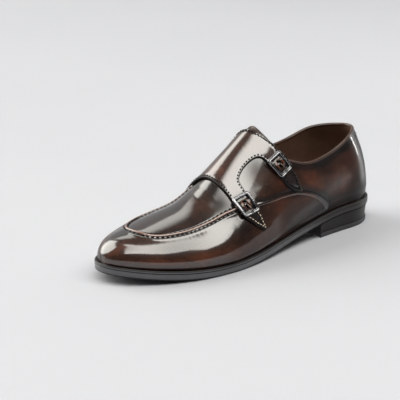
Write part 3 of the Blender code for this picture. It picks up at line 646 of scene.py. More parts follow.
def tone_at(x, a):
    t = np.full(np.shape(x), 0.22)
    for sx, sa, wx, wa, k in SPOTS:
        t = t + k * np.exp(-((x - sx) / wx) ** 2 - ((a - sa) * RADIUS / wa) ** 2)
    for side, top in ((1, TOP_OUTER), (-1, TOP_INNER)):
        far = np.abs(upper_point(x, a)[..., 2] - top(np.clip(x, 2.5, THROAT)))
        t = t - 0.30 * bell(far / 6.5) * (x < THROAT)
    t = t + 0.30 * bell((a - 0.16) / 0.20) * smooth((x - 150) / 30) - 0.16 * smooth((np.sin(a) - 0.5) / 0.3)
    return t - 0.16 * bell(np.sin(a) * RADIUS / 4.0) * smooth((150 - x) / 40)


# ---------------------------------------------------------------- the apron's line over the toe
def angle_for_y(x, y):
    """Angle at which the top of the section at x reaches y."""
    a = np.linspace(0.8, 2.75, 900)
    return float(np.interp(-y, -upper_point(np.full(900, x), a)[:, 1], a))


NEAR = ((183.0, 0.73), (190.4, 0.773), (197.7, 0.822), (207.4, 0.858), (217.4, 0.871), (227.5, 0.869), (237, 0.873),
        (245.6, 0.894), (253.4, 0.935), (260.2, 1.009))
FAR_Y = ((265.2, 7.9), (268.2, 1.2), (269.2, -5.6), (268.2, -12.2), (264.8, -18.2), (259.4, -22.8), (252.5, -25.7),
         (245, -27.3), (237, -27.4), (227, -26.4), (217, -25.8), (207, -25.8), (198, -24.8), (190, -23.0), (183, -21.6))
APRON = np.array(list(NEAR) + [(x, angle_for_y(x, y)) for x, y in FAR_Y])
_p = upper_point(APRON[:, 0], APRON[:, 1])
_d = np.concatenate([[0], np.cumsum(np.linalg.norm(np.diff(_p, axis=0), axis=1))])
_t = np.linspace(0, _d[-1], 340)
APRON = np.stack([Spline(_d, APRON[:, 0])(_t), Spline(_d, APRON[:, 1])(_t)], 1)
APRON_POINTS = upper_point(APRON[:, 0], APRON[:, 1])
APRON_AT = np.concatenate([[0], np.cumsum(np.linalg.norm(np.diff(APRON_POINTS, axis=0), axis=1))])
APRON_LOOP = np.concatenate([APRON * (1, RADIUS), [(150, APRON[-1, 1] * RADIUS), (150, APRON[0, 1] * RADIUS)]])


def apron_distance(x, a):
    """Distance to the apron's line, above zero inside it, and the length along it."""
    p = upper_point(x, a).reshape(-1, 3)
    best, where = np.full(len(p), 1e9), np.zeros(len(p))
    for start in range(0, len(p), 2000):
        q = p[start : start + 2000]
        s0, s1 = APRON_POINTS[:-1], APRON_POINTS[1:]
        d = s1 - s0
        t = np.clip(((q[:, None] - s0) * d).sum(-1) / (d * d).sum(-1), 0, 1)
        gap = np.linalg.norm(q[:, None] - s0 - t[..., None] * d, axis=-1)
        k = gap.argmin(axis=1)
        rows = np.arange(len(q))
        best[start : start + 2000] = gap[rows, k]
        where[start : start + 2000] = APRON_AT[k] + t[rows, k] * (APRON_AT[k + 1] - APRON_AT[k])
    flat = np.stack([np.asarray(x, float).ravel(), np.asarray(a, float).ravel() * RADIUS], 1)
    sign = np.where(within(flat, APRON_LOOP), 1.0, -1.0)
    return (best * sign).reshape(np.shape(x)), where.reshape(np.shape(x))


CREASES = (  # soft troughs and ridges: two ends (section, angle), depth, half width
    ((196, 0.30), (187, 0.42), 0.16, 2.2), ((190.5, 0.24), (182, 0.35), 0.14, 2.0), ((203, 0.36), (196, 0.50), 0.12, 2.4),
    ((205, 1.05), (203, 1.75), 0.14, 3.2), ((196, 1.05), (194, 1.70), 0.12, 2.6),
    ((62, 0.50), (44, 0.36), 0.18, 4.0), ((58, 0.30), (40, 0.22), -0.14, 3.4), ((88, 0.42), (72, 0.28), 0.16, 4.5),
    ((160, 0.62), (150, 0.52), 0.13, 1.8), ((164, 0.68), (155, 0.62), -0.10, 1.5), ((128, 0.30), (108, 0.22), 0.12, 3.0),
    ((150, 0.20), (165, 0.30), 0.12, 3.0), ((205, 2.35), (196, 2.70), 0.2, 3.0), ((214, 2.30), (206, 2.72), 0.15, 3.0),
    ((120, 2.75), (98, 2.62), 0.15, 4.0), ((70, 2.75), (52, 2.90), 0.15, 4.0))


def creases(x, a):
    p = upper_point(x, a)
    out = np.zeros(np.shape(x))
    for (x0, a0), (x1, a1), depth, half in CREASES:
        t0, t1 = upper_point(x0, a0), upper_point(x1, a1)
        d = t1 - t0
        t = ((p - t0) @ d) / (d @ d)
        gap = np.linalg.norm(p - t0 - np.clip(t, 0, 1)[..., None] * d, axis=-1)
        out -= depth * bell(gap / half) * smooth(1.2 - np.abs(t - 0.5) * 1.3)
    return out


def relief(x, a):
    """Rise of the upper's face over the plain form: the sunken apron, its grooves, and the puckers outside it."""
    d, s = apron_distance(x, a)
    out = creases(x, a)
    on = (x > 180).astype(float)
    out -= 0.5 * smooth((x - 178) / 8) * smooth((d - 0.6) / 2.4)
    out -= on * 0.35 * bell((d - 1.9) / 0.6)
    out -= on * 0.55 * bell((d + 2.0) / 0.7)
    out += on * np.where(d < 0, 0.25 * bell((d + 3.6) / 1.3), 0)
    e = -d - 1.4
    wobble = 0.9 * np.sin(s / 7.3) + 0.7 * np.sin(s / 3.1 + 1.3)
    wave = np.cos(2 * PI * (s + wobble) / 4.1)
    side = 0.55 + 0.45 * bell((s - 60) / 55)
    out += on * np.where(e > 0, side * 0.12 * wave * (1 - np.exp(-e / 0.7)) * np.exp(-e / 2.2), 0.0)
    e = d - 1.2
    out += on * np.where(e > 0, 0.05 * wave * (1 - np.exp(-e / 0.7)) * np.exp(-e / 2.0), 0.0)
    return out


# ---------------------------------------------------------------- the upper's shell
def shell_sections():
    a = UP0 + (92.0 - UP0) * (1 - np.cos(np.linspace(0, PI / 2, 48)))
    b = np.linspace(92.0, 142.0, 26)[1:]
    c = 142.0 + 5.0 * np.array([0.35, 0.65, 0.86, 1.0])
    d = np.linspace(THROAT, 182.0, 19)[1:]
    e = np.linspace(182.0, 276.0, 122)[1:]
    f = UP1 - (UP1 - 276.0) * (1 - np.linspace(0, 1, 26)) ** 1.7
    return np.concatenate([a, b, c, d, e, f[1:]])


def wall_angles(x, rows):
    """Angles of one section's rows, closer together beside the apron's line."""
    near = np.interp(x, APRON[: int(APRON[:, 0].argmax()), 0], APRON[: int(APRON[:, 0].argmax()), 1])
    back = APRON[int(APRON[:, 0].argmax()) :][::-1]
    far = np.interp(x, back[:, 0], back[:, 1])
    gain = 3.2 * float(smooth((x - 176) / 10) * (1 - smooth((x - 271) / 8)))
    out = []
    for low, high, at in ((0.0, float(top_angle(x, 1)), near), (float(top_angle(x, -1)), PI, far)):
        a = np.linspace(low, high, 400)
        weight = 1 + gain * bell((a - at) / 0.14)
        total = np.concatenate([[0], np.cumsum((weight[1:] + weight[:-1]) / 2)])
        out.append(np.interp(np.linspace(0, total[-1], rows), total, a))
    return np.concatenate(out)


def build_shell():
    xs, rows = shell_sections(), 70
    n, m = len(xs), 2 * rows
    angles = np.array([wall_angles(x, rows) for x in xs])
    sections = np.repeat(xs[:, None], m, axis=1)
    rise = relief(sections, angles)
    rise[:, [0, -1]] = 0
    rise[-1] = 0
    base, normal = upper_point(sections, angles), upper_normal(sections, angles)
    normal[:, [0, -1], 2] = 0
    normal[[0, -1], :, 1] = 0
    normal = unit(normal)
    normal[-1] = (1.0, 0.0, 0.0)
    grids = []
    for off in (rise, np.full_like(rise, -WALL)):
        grid = base + off[..., None] * normal
        grid[:, [0, -1], 2] = feather(grid[:, [0, -1], 0])
        grid[-1, :, 2] = feather(grid[-1, :, 0])
        grids.append(grid)
    size = n * m
    faces, which = [], []
    for start, layer in ((0, 0), (size, 1)):
        for i in range(n - 1):
            for j in range(m - 1):
                if j == rows - 1:
                    continue
                f = (start + i * m + j, start + (i + 1) * m + j, start + (i + 1) * m + j + 1, start + i * m + j + 1)
                faces.append(f[::-1] if layer == 0 else f)
                which.append(layer)
    for i in range(n - 1):
        rims = [(0, False), (m - 1, True)]
        if xs[i] < THROAT - 1e-6:
            rims += [(rows - 1, True), (rows, False)]
        for j, flip in rims:
            f = (i * m + j, (i + 1) * m + j, size + (i + 1) * m + j, size + i * m + j)
            faces.append(f[::-1] if flip else f)
            which.append(0)
    tone = tone_at(sections, angles)
    d, _ = apron_distance(sections, angles)
    on = sections > 180
    tone = tone - on * 0.55 * bell((d + 2.0) / 1.1) - on * 0.35 * bell((d - 1.9) / 1.2)
    ink_and_shade = on * 0.75 * bell((d + 2.0) / 0.8) + on * 0.5 * bell((d - 1.9) / 0.7)
    flat = np.ones(size)
    piece("upper_shell", np.concatenate([g.reshape(-1, 3) for g in grids]), faces, [leather, lining], ("upper",),
          {"tone": np.concatenate([tone.ravel(), 0 * flat]), "dull": np.concatenate([dull_at(sections, angles).ravel(), 0 * flat]),
           "ink_and_shade": np.concatenate([ink_and_shade.ravel(), 0 * flat]),
           "rim": np.concatenate([flat * 9, flat * 9])}, which, angle=60)


def chart(flat, off):
    x, a = flat[:, 0], flat[:, 1] / RADIUS
    return on_upper(x, a, off + creases(x, a))


def chart_s(flat, off):
    x, a = x_of(flat[:, 0]), flat[:, 1] / RADIUS
    return on_upper(x, a, off + creases(x, a))


def to_s(points):
    return [(float(s_of(x)), a * RADIUS) for x, a in points]


def rounded_rise(rim, thick, r):
    """Height of a cut edge that rounds over within r."""
    t = np.clip(rim / r, 0, 1)
    return thick * (0.25 + 0.75 * np.sqrt(np.clip(1 - (1 - t) ** 2, 0, 1)))


RIMS = (0.14, 0.4, 0.85, 1.35, 1.9, 2.5)
OVERLAY = 0.62
SEAM = ((78.1, 0.004), (83.6, 0.034), (91.5, 0.085), (100.1, 0.142), (109.5, 0.199), (120.1, 0.257), (129.4, 0.300),
        (142.4, 0.369), (154.5, 0.443), (167.7, 0.543))


def quarter_loop(side):
    """Outline of a quarter, in the even chart: seam from the sole, hidden front edge, top line, back."""
    if side > 0:
        seam = list(SEAM)
        front = [(174, 0.62), (179, 0.75), (179.5, 0.92), (174, 1.06), (164, 1.13), (152, 1.16), (144.6, 1.15)]
        top_from = 143.2
    else:
        seam = [(x, PI - a) for x, a in SEAM]
        front = [(166.5, 2.53), (160, 2.465), (150, 2.335), (141, 2.19)]
        top_from = 134.5
    xs = x_of(np.linspace(float(s_of(top_from)), 4.0, 60))
    top = [(x, float(top_angle(x, side))) for x in xs]
    end = float(xs[-1])
    back = [(end, top[-1][1] + (float(side < 0) * PI + side * 0.004 - top[-1][1]) * t) for t in (0.5, 1.0)]
    foot = [(float(x_of(s)), side * 0.004 + PI * (side < 0)) for s in np.linspace(4.0, float(s_of(78.1)), 24)[1:-1]]
    points = seam + front + top + back + foot
    c1 = len(seam) + len(front)
    corners = [0, c1, c1 + len(top) - 1, c1 + len(top) + 1]
    return curve(to_s(points), 1.1, corners), seam


def build_quarters():
    for name, side in (("quarter_outer", 1), ("quarter_inner", -1)):
        loop, seam = quarter_loop(side)
        line = open_curve(to_s(seam), 0.8)

        def to_seam(flat):
            return np.min(np.linalg.norm(flat[:, None] - line[None], axis=-1), axis=1)

        def high(flat, rim, side=side):
            gap = to_seam(flat)
            out = rounded_rise(rim, OVERLAY, 0.55)
            out -= 0.28 * bell((gap - 1.9) / 0.55)
            out += 0.10 * bell((gap - 0.85) / 0.5)
            return out

        sheet_piece(name, [loop], 1.75, RIMS, chart_s, lambda f, r: np.full(len(f), -0.35), high, leather,
                    attrs={"rim": lambda f, r: r + 2.0 * (to_seam(f) < 1.3),
                           # tone: lighter right at the seam's edge, a painted highlight of its light line
                           "tone": lambda f, r: (tone_at(x_of(f[:, 0]), f[:, 1] / RADIUS) - 0.25 * bell((to_seam(f) - 1.9) / 1.6)
                                                 + 0.35 * bell(to_seam(f) / 0.8)),
                           "dull": lambda f, r: dull_at(x_of(f[:, 0]), f[:, 1] / RADIUS) * (1 - bell(to_seam(f) / 1.1)),
                           "ink_and_shade": lambda f, r: np.clip(0.75 * bell((to_seam(f) - 1.9) / 0.6) + 0.8 * (1 - smooth((x_of(f[:, 0]) - 19) / 4))
                                                       + 0.7 * bell((r - 1.9) / 0.6), 0, 1)})


def build_back_strip():
    """The strip over the join of the quarters at the heel's back."""
    rows, cols = 60, 23
    v = np.linspace(0, 1, rows)
    w = np.linspace(-1, 1, cols)
    points = {}
    for layer in (0, 1):
        grid = np.zeros((rows, cols, 3))
        for i, t in enumerate(v):
            half = 6.2 - 1.6 * t + 1.4 * (1 - t) ** 6
            s = np.abs(w) * half
            x = x_of(s)
            top = np.where(w >= 0, top_angle(x, 1), PI - top_angle(x, -1)) * t * 0.995
            a = np.where(w >= 0, top, PI - top)
            edge = (1 - np.abs(w)) * half
            off = rounded_rise(edge, 1.25, 0.7) - 0.25 * bell((edge - 1.7) / 0.5) + 0.12 * bell(w / 0.10) if layer else np.full(cols, 0.2)
            n = upper_normal(x, a)
            mid = np.abs(w) < 1e-6
            n[mid, 1] = 0
            grid[i] = upper_point(x, a) + off[:, None] * unit(n)
        points[layer] = grid
    low, high = points[0].reshape(-1, 3), points[1].reshape(-1, 3)
    n = rows * cols
    faces = [tuple(i + n for i in f) for f in grid_faces(rows, cols)] + [f[::-1] for f in grid_faces(rows, cols)]
    rim = ([i * cols for i in range(rows)] + [(rows - 1) * cols + j for j in range(1, cols)]
           + [i * cols + cols - 1 for i in range(rows - 2, -1, -1)] + [j for j in range(cols - 2, 0, -1)])
    faces += [(p, q, q + n, p + n) for p, q in zip(rim, rim[1:] + rim[:1])]
    edge = np.repeat(((1 - np.abs(w)) * 5.5)[None], rows, axis=0).ravel()
    piece("back_strip", np.concatenate([low, high]), faces, leather,
          attrs={"rim": np.concatenate([edge, edge]), "tone": np.full(2 * n, 0.12), "ink_and_shade": np.full(2 * n, 0.4), "dull": np.full(2 * n, 0.8)})


def top_path(x_outer, x_inner, step=1.3, drop=0.0):
    """Sections and angles along the top line, from the outer side's front round the back to the inner side's front."""
    s = np.arange(float(s_of(x_outer)), 0, -step)
    xo = np.append(x_of(s), UP0)
    t = np.arange(float(s_of(x_inner)), 0, -step)
    xi = x_of(t)[::-1]
    ao = angle_at(xo, TOP_OUTER(xo) - drop, 1)
    ai = angle_at(xi, TOP_INNER(xi) - drop, -1)
    return np.concatenate([xo, xi]), np.concatenate([ao, ai])


def build_collar():
    x, a = top_path(143.0, 136.0)
    path, normal = on_upper(x, a, np.full(len(x), -0.72)), upper_normal(x, a)
    mid = x <= UP0 + 1e-6
    normal[mid, 1] = 0
    section = oval(1.5, 1.55, 14, power=0.85)
    p, f = sweep(path, normal, section)
    piece("collar_binding", p, f, binding_leather,
          attrs={"rim": np.full(len(p), 9.0), "tone": np.full(len(p), 0.35), "ink_and_shade": np.zeros(len(p))}, angle=60)


def build_apron_ridge():
    path, normal = upper_point(APRON[:, 0], APRON[:, 1]), upper_normal(APRON[:, 0], APRON[:, 1])
    t = np.linspace(0, PI, 9)
    section = np.concatenate([np.stack([1.15 * np.cos(t), 1.0 * np.sin(t) ** 0.9], 1), [(-1.15, -1.3), (1.15, -1.3)]])
    section[:, 0] = np.clip(section[:, 0], -1.15, 1.15)
    along = APRON_AT
    rise = 0.05 * np.sin(2 * PI * along / 4.1) + 0.04 * np.sin(along / 5.0)
    sections = np.repeat(section[None], len(path), axis=0)
    sections[..., 1] += (rise - 0.05)[:, None] * (section[None, :, 1] > -1)
    p, f = sweep(path, normal, sections)
    crest = np.tile(np.clip(section[:, 1], 0, 1), len(path))
    # lighter on its crest: rubbed-edge colour and a painted highlight; near-black at its foot: painted shade where it
    # meets the vamp
    piece("apron_ridge", p, f, ridge_leather,
          attrs={"rim": np.full(len(p), 9.0), "tone": 0.1 + 0.75 * crest**2, "ink_and_shade": 0.85 * (1 - smooth(crest / 0.6))}, angle=60)


# ---------------------------------------------------------------- the strap, its tongue and the elastic
NECK_LONG, NECK_HALF, LEG_HALF = 4.7, 5.5, 7.4
SLOT_HALF, SLOT_FROM, SLOT_TO = 1.4, -3.2, 3.3


def leg(patch, side):
    u = np.array([-8.0, -NECK_LONG, -NECK_LONG, NECK_LONG, NECK_LONG, 8.0])
    v = side * np.array([LEG_HALF, LEG_HALF, NECK_HALF, NECK_HALF, LEG_HALF, LEG_HALF])
    x, a = patch.solve(u, v)
    return [(p, q * RADIUS) for p, q in zip(x, a)]


def strap_loops(step):
    def rows(*points):
        return [(x, a * RADIUS) for x, a in points]

    parts = [
        (rows((189.5, 2.43), (188.3, 2.10), (187.4, 1.80), (187.6, 1.50), (187.6, 1.20), (187.3, 0.97)), True),
        (leg(LOWER, -1), None),
        (rows((180.9, 0.486), (175.3, 0.361), (168.2, 0.250)), False),
        (rows((166.6, 0.234), (165.6, 0.250), (167.0, 0.362), (168.3, 0.460)), False),
        (leg(LOWER, 1)[::-1], None),
        (rows((173.6, 0.905), (173.2, 0.985), (168.6, 1.046), (161.5, 1.060), (155.3, 1.038), (149.8, 0.985),
              (146.6, 0.910)), False),
        (leg(UPPER, -1), None),
        (rows((132.0, 0.419), (124.4, 0.319), (116.0, 0.252)), False),
        (rows((114.2, 0.246), (114.6, 0.268), (118.0, 0.385), (119.9, 0.460)), False),
        (leg(UPPER, 1)[::-1], None),
        (rows((131.6, 0.885), (134.4, 1.02), (137.6, 1.22), (140.0, 1.46), (141.2, 1.72), (141.8, 1.90)), True),
        (rows((142.6, 1.98), (150.0, 2.17), (159.0, 2.36), (165.5, 2.47)), True),
    ]
    points, corners = [], []
    for run, sharp in parts:
        if sharp is None:
            corners += range(len(points) + 1, len(points) + 5)
        elif sharp:
            corners += [len(points), len(points) + len(run) - 1]
        points += run
    loops = [curve(points, step, corners)]
    for patch in (LOWER, UPPER):
        t = np.arange(16) * PI / 8
        c, d = np.cos(t), np.sin(t)
        u = np.where(c > 0, SLOT_TO - SLOT_HALF, SLOT_FROM + SLOT_HALF) + SLOT_HALF * c
        x, a = patch.solve(u, SLOT_HALF * d)
        loops.append(np.stack([x, a * RADIUS], 1))
    return loops


def hump(flat):
    rise = np.zeros(len(flat))
    for patch in (LOWER, UPPER):
        u, v = patch.local(flat[:, 0], flat[:, 1] / RADIUS)
        rise += HUMP * (1 - smooth((np.abs(u) - 1.6) / 3.0)) * (np.abs(v) < 7.4)
    return rise


STRAP_LOW, STRAP_HIGH = 0.66, 2.25


def build_strap():
    loops = strap_loops(1.0)

    def ink_and_shade(flat, rim):
        out = 0.35 * bell((rim - 1.6) / 0.6) + 0.95 * (1 - smooth((rim - 0.45) / 0.6))
        for patch, k in ((LOWER, 0.92), (UPPER, 0.85)):
            u, v = patch.local(flat[:, 0], flat[:, 1] / RADIUS)
            out += k * smooth((u - 6.5) / 3.0) * (np.abs(v) < 14) * (u < 30)
            # painted shade: darker along the buckle's rear bar, round the window's sides under the frame, and in the
            # prong hole
            out += 0.55 * bell((u + 7.5) / 2.6) * (np.abs(v) < 9)
            out += 0.8 * (np.abs(u) < 8) * (np.abs(v) < 7.5) * smooth((np.hypot(u / 5.6, v / 4.6) - 0.75) / 0.35)
            out += 0.9 * bell(np.hypot(u - 1.2, v) / 0.9)
        return np.clip(out, 0, 1)

    def tone(flat, rim):
        x, a = flat[:, 0], flat[:, 1] / RADIUS
        out = np.full(len(x), 0.38) - 0.2 * bell(rim / 3.0)
        for patch in (LOWER, UPPER):
            u, v = patch.local(x, a)
            # painted highlight: redder, lighter leather at the middle of each buckle window
            out += 1.0 * bell(u / 5.0) * bell(v / 5.5)
        return out + 0.2 * bell((x - 176) / 14) * bell((a - 1.62) / 0.3)

    def dull(flat, rim):
        out = np.zeros(len(flat))
        for patch in (LOWER, UPPER):
            u, v = patch.local(flat[:, 0], flat[:, 1] / RADIUS)
            out += 0.7 * bell(u / 8.0) * bell(v / 8.0)
        return out

    # painted highlight: a tan patch at the middle of each buckle window, for the reflection on the leather there
    def painted_highlight(flat, rim):
        out = np.zeros(len(flat))
        for patch in (LOWER, UPPER):
            u, v = patch.local(flat[:, 0], flat[:, 1] / RADIUS)
            out += 0.8 * bell((u + 0.3) / 3.6) * bell(v / 3.5)
        return out

    def high(flat, rim):
        thick = STRAP_HIGH - STRAP_LOW
        out = STRAP_LOW + rounded_rise(rim, thick, 0.5) + hump(flat)
        return out - 0.16 * bell((rim - 1.6) / 0.55)

    sheet_piece("strap_body", loops, 1.7, RIMS, chart, lambda f, r: STRAP_LOW + 0.6 * hump(f) * 1.4, high, strap_leather,
                ("monk_strap",), {"tone": tone, "ink_and_shade": ink_and_shade, "dull": dull, "painted_highlight": painted_highlight}, angle=55)
    return loops


def build_tongue():
    xs = 60 + (THROAT - 60) * np.sin(np.linspace(0, PI / 2, 60))
    line = np.array([(x, float(top_angle(x, 1)) * RADIUS) for x in xs]
                    + [(x, float(top_angle(x, -1)) * RADIUS) for x in xs[::-1][1:]])

    def rise(p):
        a, b = line[:-1], line[1:]
        d = b - a
        t = np.clip(((p[:, None] - a) * d).sum(-1) / (d * d).sum(-1), 0, 1)
        gap = np.linalg.norm(p[:, None] - a - t[..., None] * d, axis=-1).min(axis=1)
        side = np.where(p[:, 1] < RADIUS * PI / 2, 1, -1)
        z = upper_point(p[:, 0], p[:, 1] / RADIUS)[:, 2]
        top = np.where(side > 0, TOP_OUTER(p[:, 0]), TOP_INNER(p[:, 0]))
        return (WALL - 0.05) * smooth((gap - 1.8) / 5.0) * ((p[:, 0] < THROAT) & (z > top))

    points = [(x, a * RADIUS) for x, a in (
        (172.0, 1.02), (150.0, 0.93), (133.5, 0.865), (131.4, 0.905), (133.6, 1.08), (135.3, 1.32), (134.9, 1.58),
        (134.6, 1.80), (135.6, 2.02), (137.4, 2.16), (140.2, 2.20), (152.0, 2.14), (172.0, 2.06))]
    loop = curve(points, 1.2, (0, 2, 3, 9, 10, 12))

    def high(flat, rim):
        return rise(flat) - WALL - 0.4 - TONGUE + rounded_rise(rim, TONGUE, 1.1) + 0.15 * bell((rim - 1.0) / 0.5) \
            - 0.3 * bell((rim - 2.1) / 0.5)

    sheet_piece("tongue_body", [loop], 1.9, RIMS, lambda f, o: on_upper(f[:, 0], f[:, 1] / RADIUS, o),
                lambda f, r: rise(f) - WALL - 0.4 - TONGUE, high, binding_leather, ("tongue",),
                {"tone": lambda f, r: 0.4 - 0.3 * bell(r / 2.0), "ink_and_shade": lambda f, r: 0.3 * bell((r - 2.1) / 0.6)})
    return loop


def build_inner_side():
    """The ribbed elastic beside the strap, and the small stitched patch at the strap's lower end."""
    front = [(146.0, 1.93), (152.0, 2.13), (160.0, 2.32), (168.0, 2.45)]
    back = [(167.5, 2.575), (160, 2.50), (150, 2.37), (141, 2.225), (134.0, float(top_angle(134.0, -1)) + 0.03)]
    top = [(x, float(top_angle(x, -1)) + 0.012) for x in (135.5, 138.5, 141.5, 143.5)]
    points = [(x, a * RADIUS) for x, a in front + back + top]
    loop = curve(points, 1.0, (0, 3, 4, 8, 12))

    def across(flat):
        line = open_curve([(x, a * RADIUS) for x, a in ((142.6, 1.98), (150.0, 2.17), (159.0, 2.36), (168, 2.49))], 0.8)
        d = np.linalg.norm(flat[:, None] - line[None], axis=-1)
        return d.min(axis=1)

    sheet_piece("elastic_gore", [loop], 0.55, (0.2, 0.5), chart, lambda f, r: np.full(len(f), -0.3),
                lambda f, r: 0.28 + 0.17 * np.sin(2 * PI * across(f) / 1.5) * np.clip(r / 0.5, 0, 1), elastic)
    corners = [(164.8, 2.455), (190.3, 2.405), (190.8, 2.60), (165.2, 2.645)]
    loop = curve([(x, a * RADIUS) for x, a in corners], 1.0, (0, 1, 2, 3))
    sheet_piece("strap_end_patch", [loop], 1.5, RIMS, chart, lambda f, r: np.full(len(f), 0.25),
                lambda f, r: 0.3 + rounded_rise(r, 2.7, 0.8) - 0.3 * bell((r - 1.9) / 0.5), strap_leather,
                attrs={"tone": lambda f, r: 0.3 - 0.2 * bell(r / 2), "ink_and_shade": lambda f, r: 0.4 * bell((r - 1.9) / 0.7)})
    return [(x, a * RADIUS) for x, a in corners]


# ---------------------------------------------------------------- buckles
def ring_loop(long, wide, radius, n=8):
    """Points and outward directions round a rectangle with rounded corners, with points along its sides."""
    out = []
    for k, (su, sv) in enumerate(((1, 1), (-1, 1), (-1, -1), (1, -1))):
        cu, cv = su * (long / 2 - radius), sv * (wide / 2 - radius)
        for t in np.linspace(0, PI / 2, n) + k * PI / 2:
            out.append((cu + radius * math.cos(t), cv + radius * math.sin(t), math.cos(t), math.sin(t)))
    loop = []
    for a, b in zip(out, out[1:] + out[:1]):
        loop.append(a)
        gap = math.hypot(a[0] - b[0], a[1] - b[1])
        if gap > 2:
            for s in np.linspace(0, 1, int(gap / 1.3) + 2)[1:-1]:
                loop.append(tuple(p + (q - p) * s for p, q in zip(a, b)))
    return np.array(loop)


def build_buckle(name, patch):
    loop = ring_loop(BUCKLE_LONG - BAR_WIDE, BUCKLE_WIDE - BAR_WIDE, 1.9)
    w, t = BAR_WIDE / 2, BAR_THICK
    half = [(w - 0.25, 0.0), (w - 0.06, 0.08), (w, 0.3), (w, t - 0.62), (w - 0.05, t - 0.48), (w - 0.50, t - 0.06),
            (w - 0.62, t), (w - 0.80, t), (w - 0.90, t - 0.06), (w - 1.12, t - 0.2)]
    section = np.array(half + [(-p, q) for p, q in half[::-1]])
    u = loop[:, 0, None] + loop[:, 2, None] * section[:, 0]
    v = loop[:, 1, None] + loop[:, 3, None] * section[:, 0]
    points = patch.place(u, v, FRAME_LOW + np.broadcast_to(section[:, 1], u.shape)).reshape(-1, 3)
    n, m = u.shape
    faces = [(i * m + j, (i + 1) % n * m + j, (i + 1) % n * m + (j + 1) % m, i * m + (j + 1) % m)
             for i in range(n) for j in range(m)]
    parts = [(points, faces)]
    end = BUCKLE_WIDE / 2 - BAR_WIDE / 2
    vs = np.linspace(-end - 0.3, end + 0.3, 15)
    lift = 1.15 + 1.9 * smooth((np.abs(vs) - end + 0.9) / 0.9)
    path, normal = patch.place(np.zeros(15), vs, lift), patch.place(np.zeros(15), vs, lift + 1) - patch.place(np.zeros(15), vs, lift)
    parts.append(sweep(path, normal, oval(1.05, 0.62, 10)))
    p, f = joined(parts)
    piece("frame_" + name, p, f, metal, ("buckle_" + name,), angle=32)


def build_prong(name, patch):
    rows = np.array([(-2.05, 0.75), (-2.05, 1.6), (-1.75, 2.35), (-0.9, 3.15), (0.4, 4.2), (1.8, 4.75), (3.0, 5.0),
                     (4.4, 5.3), (6.2, 5.52), (8.9, 5.45)])
    rows = open_curve(rows, 0.45)
    n = len(rows)
    d = unit(np.gradient(rows, axis=0))
    wide = np.interp(np.linspace(0, 1, n), (0, 0.7, 1), (0.52, 0.48, 0.34))
    ring = oval(1.0, 0.62, 10)
    u = rows[:, 0, None] - d[:, 1, None] * ring[None, :, 1]
    o = rows[:, 1, None] + d[:, 0, None] * ring[None, :, 1]
    v = wide[:, None] * ring[None, :, 0]
    points = patch.place(u, v, o).reshape(-1, 3)
    faces = grid_faces(n, 10, 0, True) + [tuple(range(10))[::-1], tuple((n - 1) * 10 + j for j in range(10))]
    piece("pin_" + name, points, faces, metal_pin, ("prong_" + name,), angle=45)


# ---------------------------------------------------------------- sole and heel
def outline_row(xs, w_outer, w_inner, across):
    return [[(x, c + (wo if j >= 0 else wi) * j) for j in across]
            for x, c, wo, wi in zip(xs, CENTRE(xs), w_outer, w_inner)]


def plate(count, across, inset_by, z_of, x_end=None):
    """One level of a sole plate: the plan drawn in by inset_by, at the heights z_of(x)."""
    s = (1 - np.cos(np.linspace(0, PI, count))) / 2 if x_end is None else 1 - np.cos(np.linspace(0, PI / 2, count))
    rows = []
    for t in s:
        x = inset_by + t * ((LENGTH if x_end is None else x_end) - (2 if x_end is None else 1) * inset_by)
        xs = (x - inset_by) * LENGTH / (LENGTH - 2 * inset_by) if x_end is None else x
        row = []
        for j in across:
            w = float((OUTER if j >= 0 else INNER)(xs)) - inset_by
            if x_end is None:
                w *= end_round(LENGTH - xs, TOE_REACH, TOE_K, 2.0) * end_round(xs, HEEL_REACH, HEEL_K, 2.0)
            else:
                w *= end_round(x - inset_by, HEEL_REACH, HEEL_K, 2.0)
            xx = x if x_end is None else x - BREAST_HOLLOW * (1 - j * j) * float(smooth((t - 0.55) / 0.45))
            row.append((xx, float(CENTRE(x)) + w * j, float(z_of(xx))))
        rows.append(row)
    return rows


def slab(name, levels, material, stands_for, angle=35, black=()):
    levels = np.asarray(levels, float)
    count, n, m, _ = levels.shape
    size = n * m
    faces = grid_faces(n, m, (count - 1) * size) + [f[::-1] for f in grid_faces(n, m)]
    which = [0] * len(faces)
    rim = ([i * m for i in range(n)] + [(n - 1) * m + j for j in range(1, m)]
           + [i * m + m - 1 for i in range(n - 2, -1, -1)] + [j for j in range(m - 2, 0, -1)])
    for k in range(count - 1):
        for p, q in zip(rim, rim[1:] + rim[:1]):
            faces.append((k * size + p, k * size + q, (k + 1) * size + q, (k + 1) * size + p))
            which.append(1 if k in black else 0)
    points = levels.reshape(-1, 3)
    return piece(name, points, faces, material, stands_for, {"shade": smooth((125 - points[:, 0]) / 60)}, which, angle)


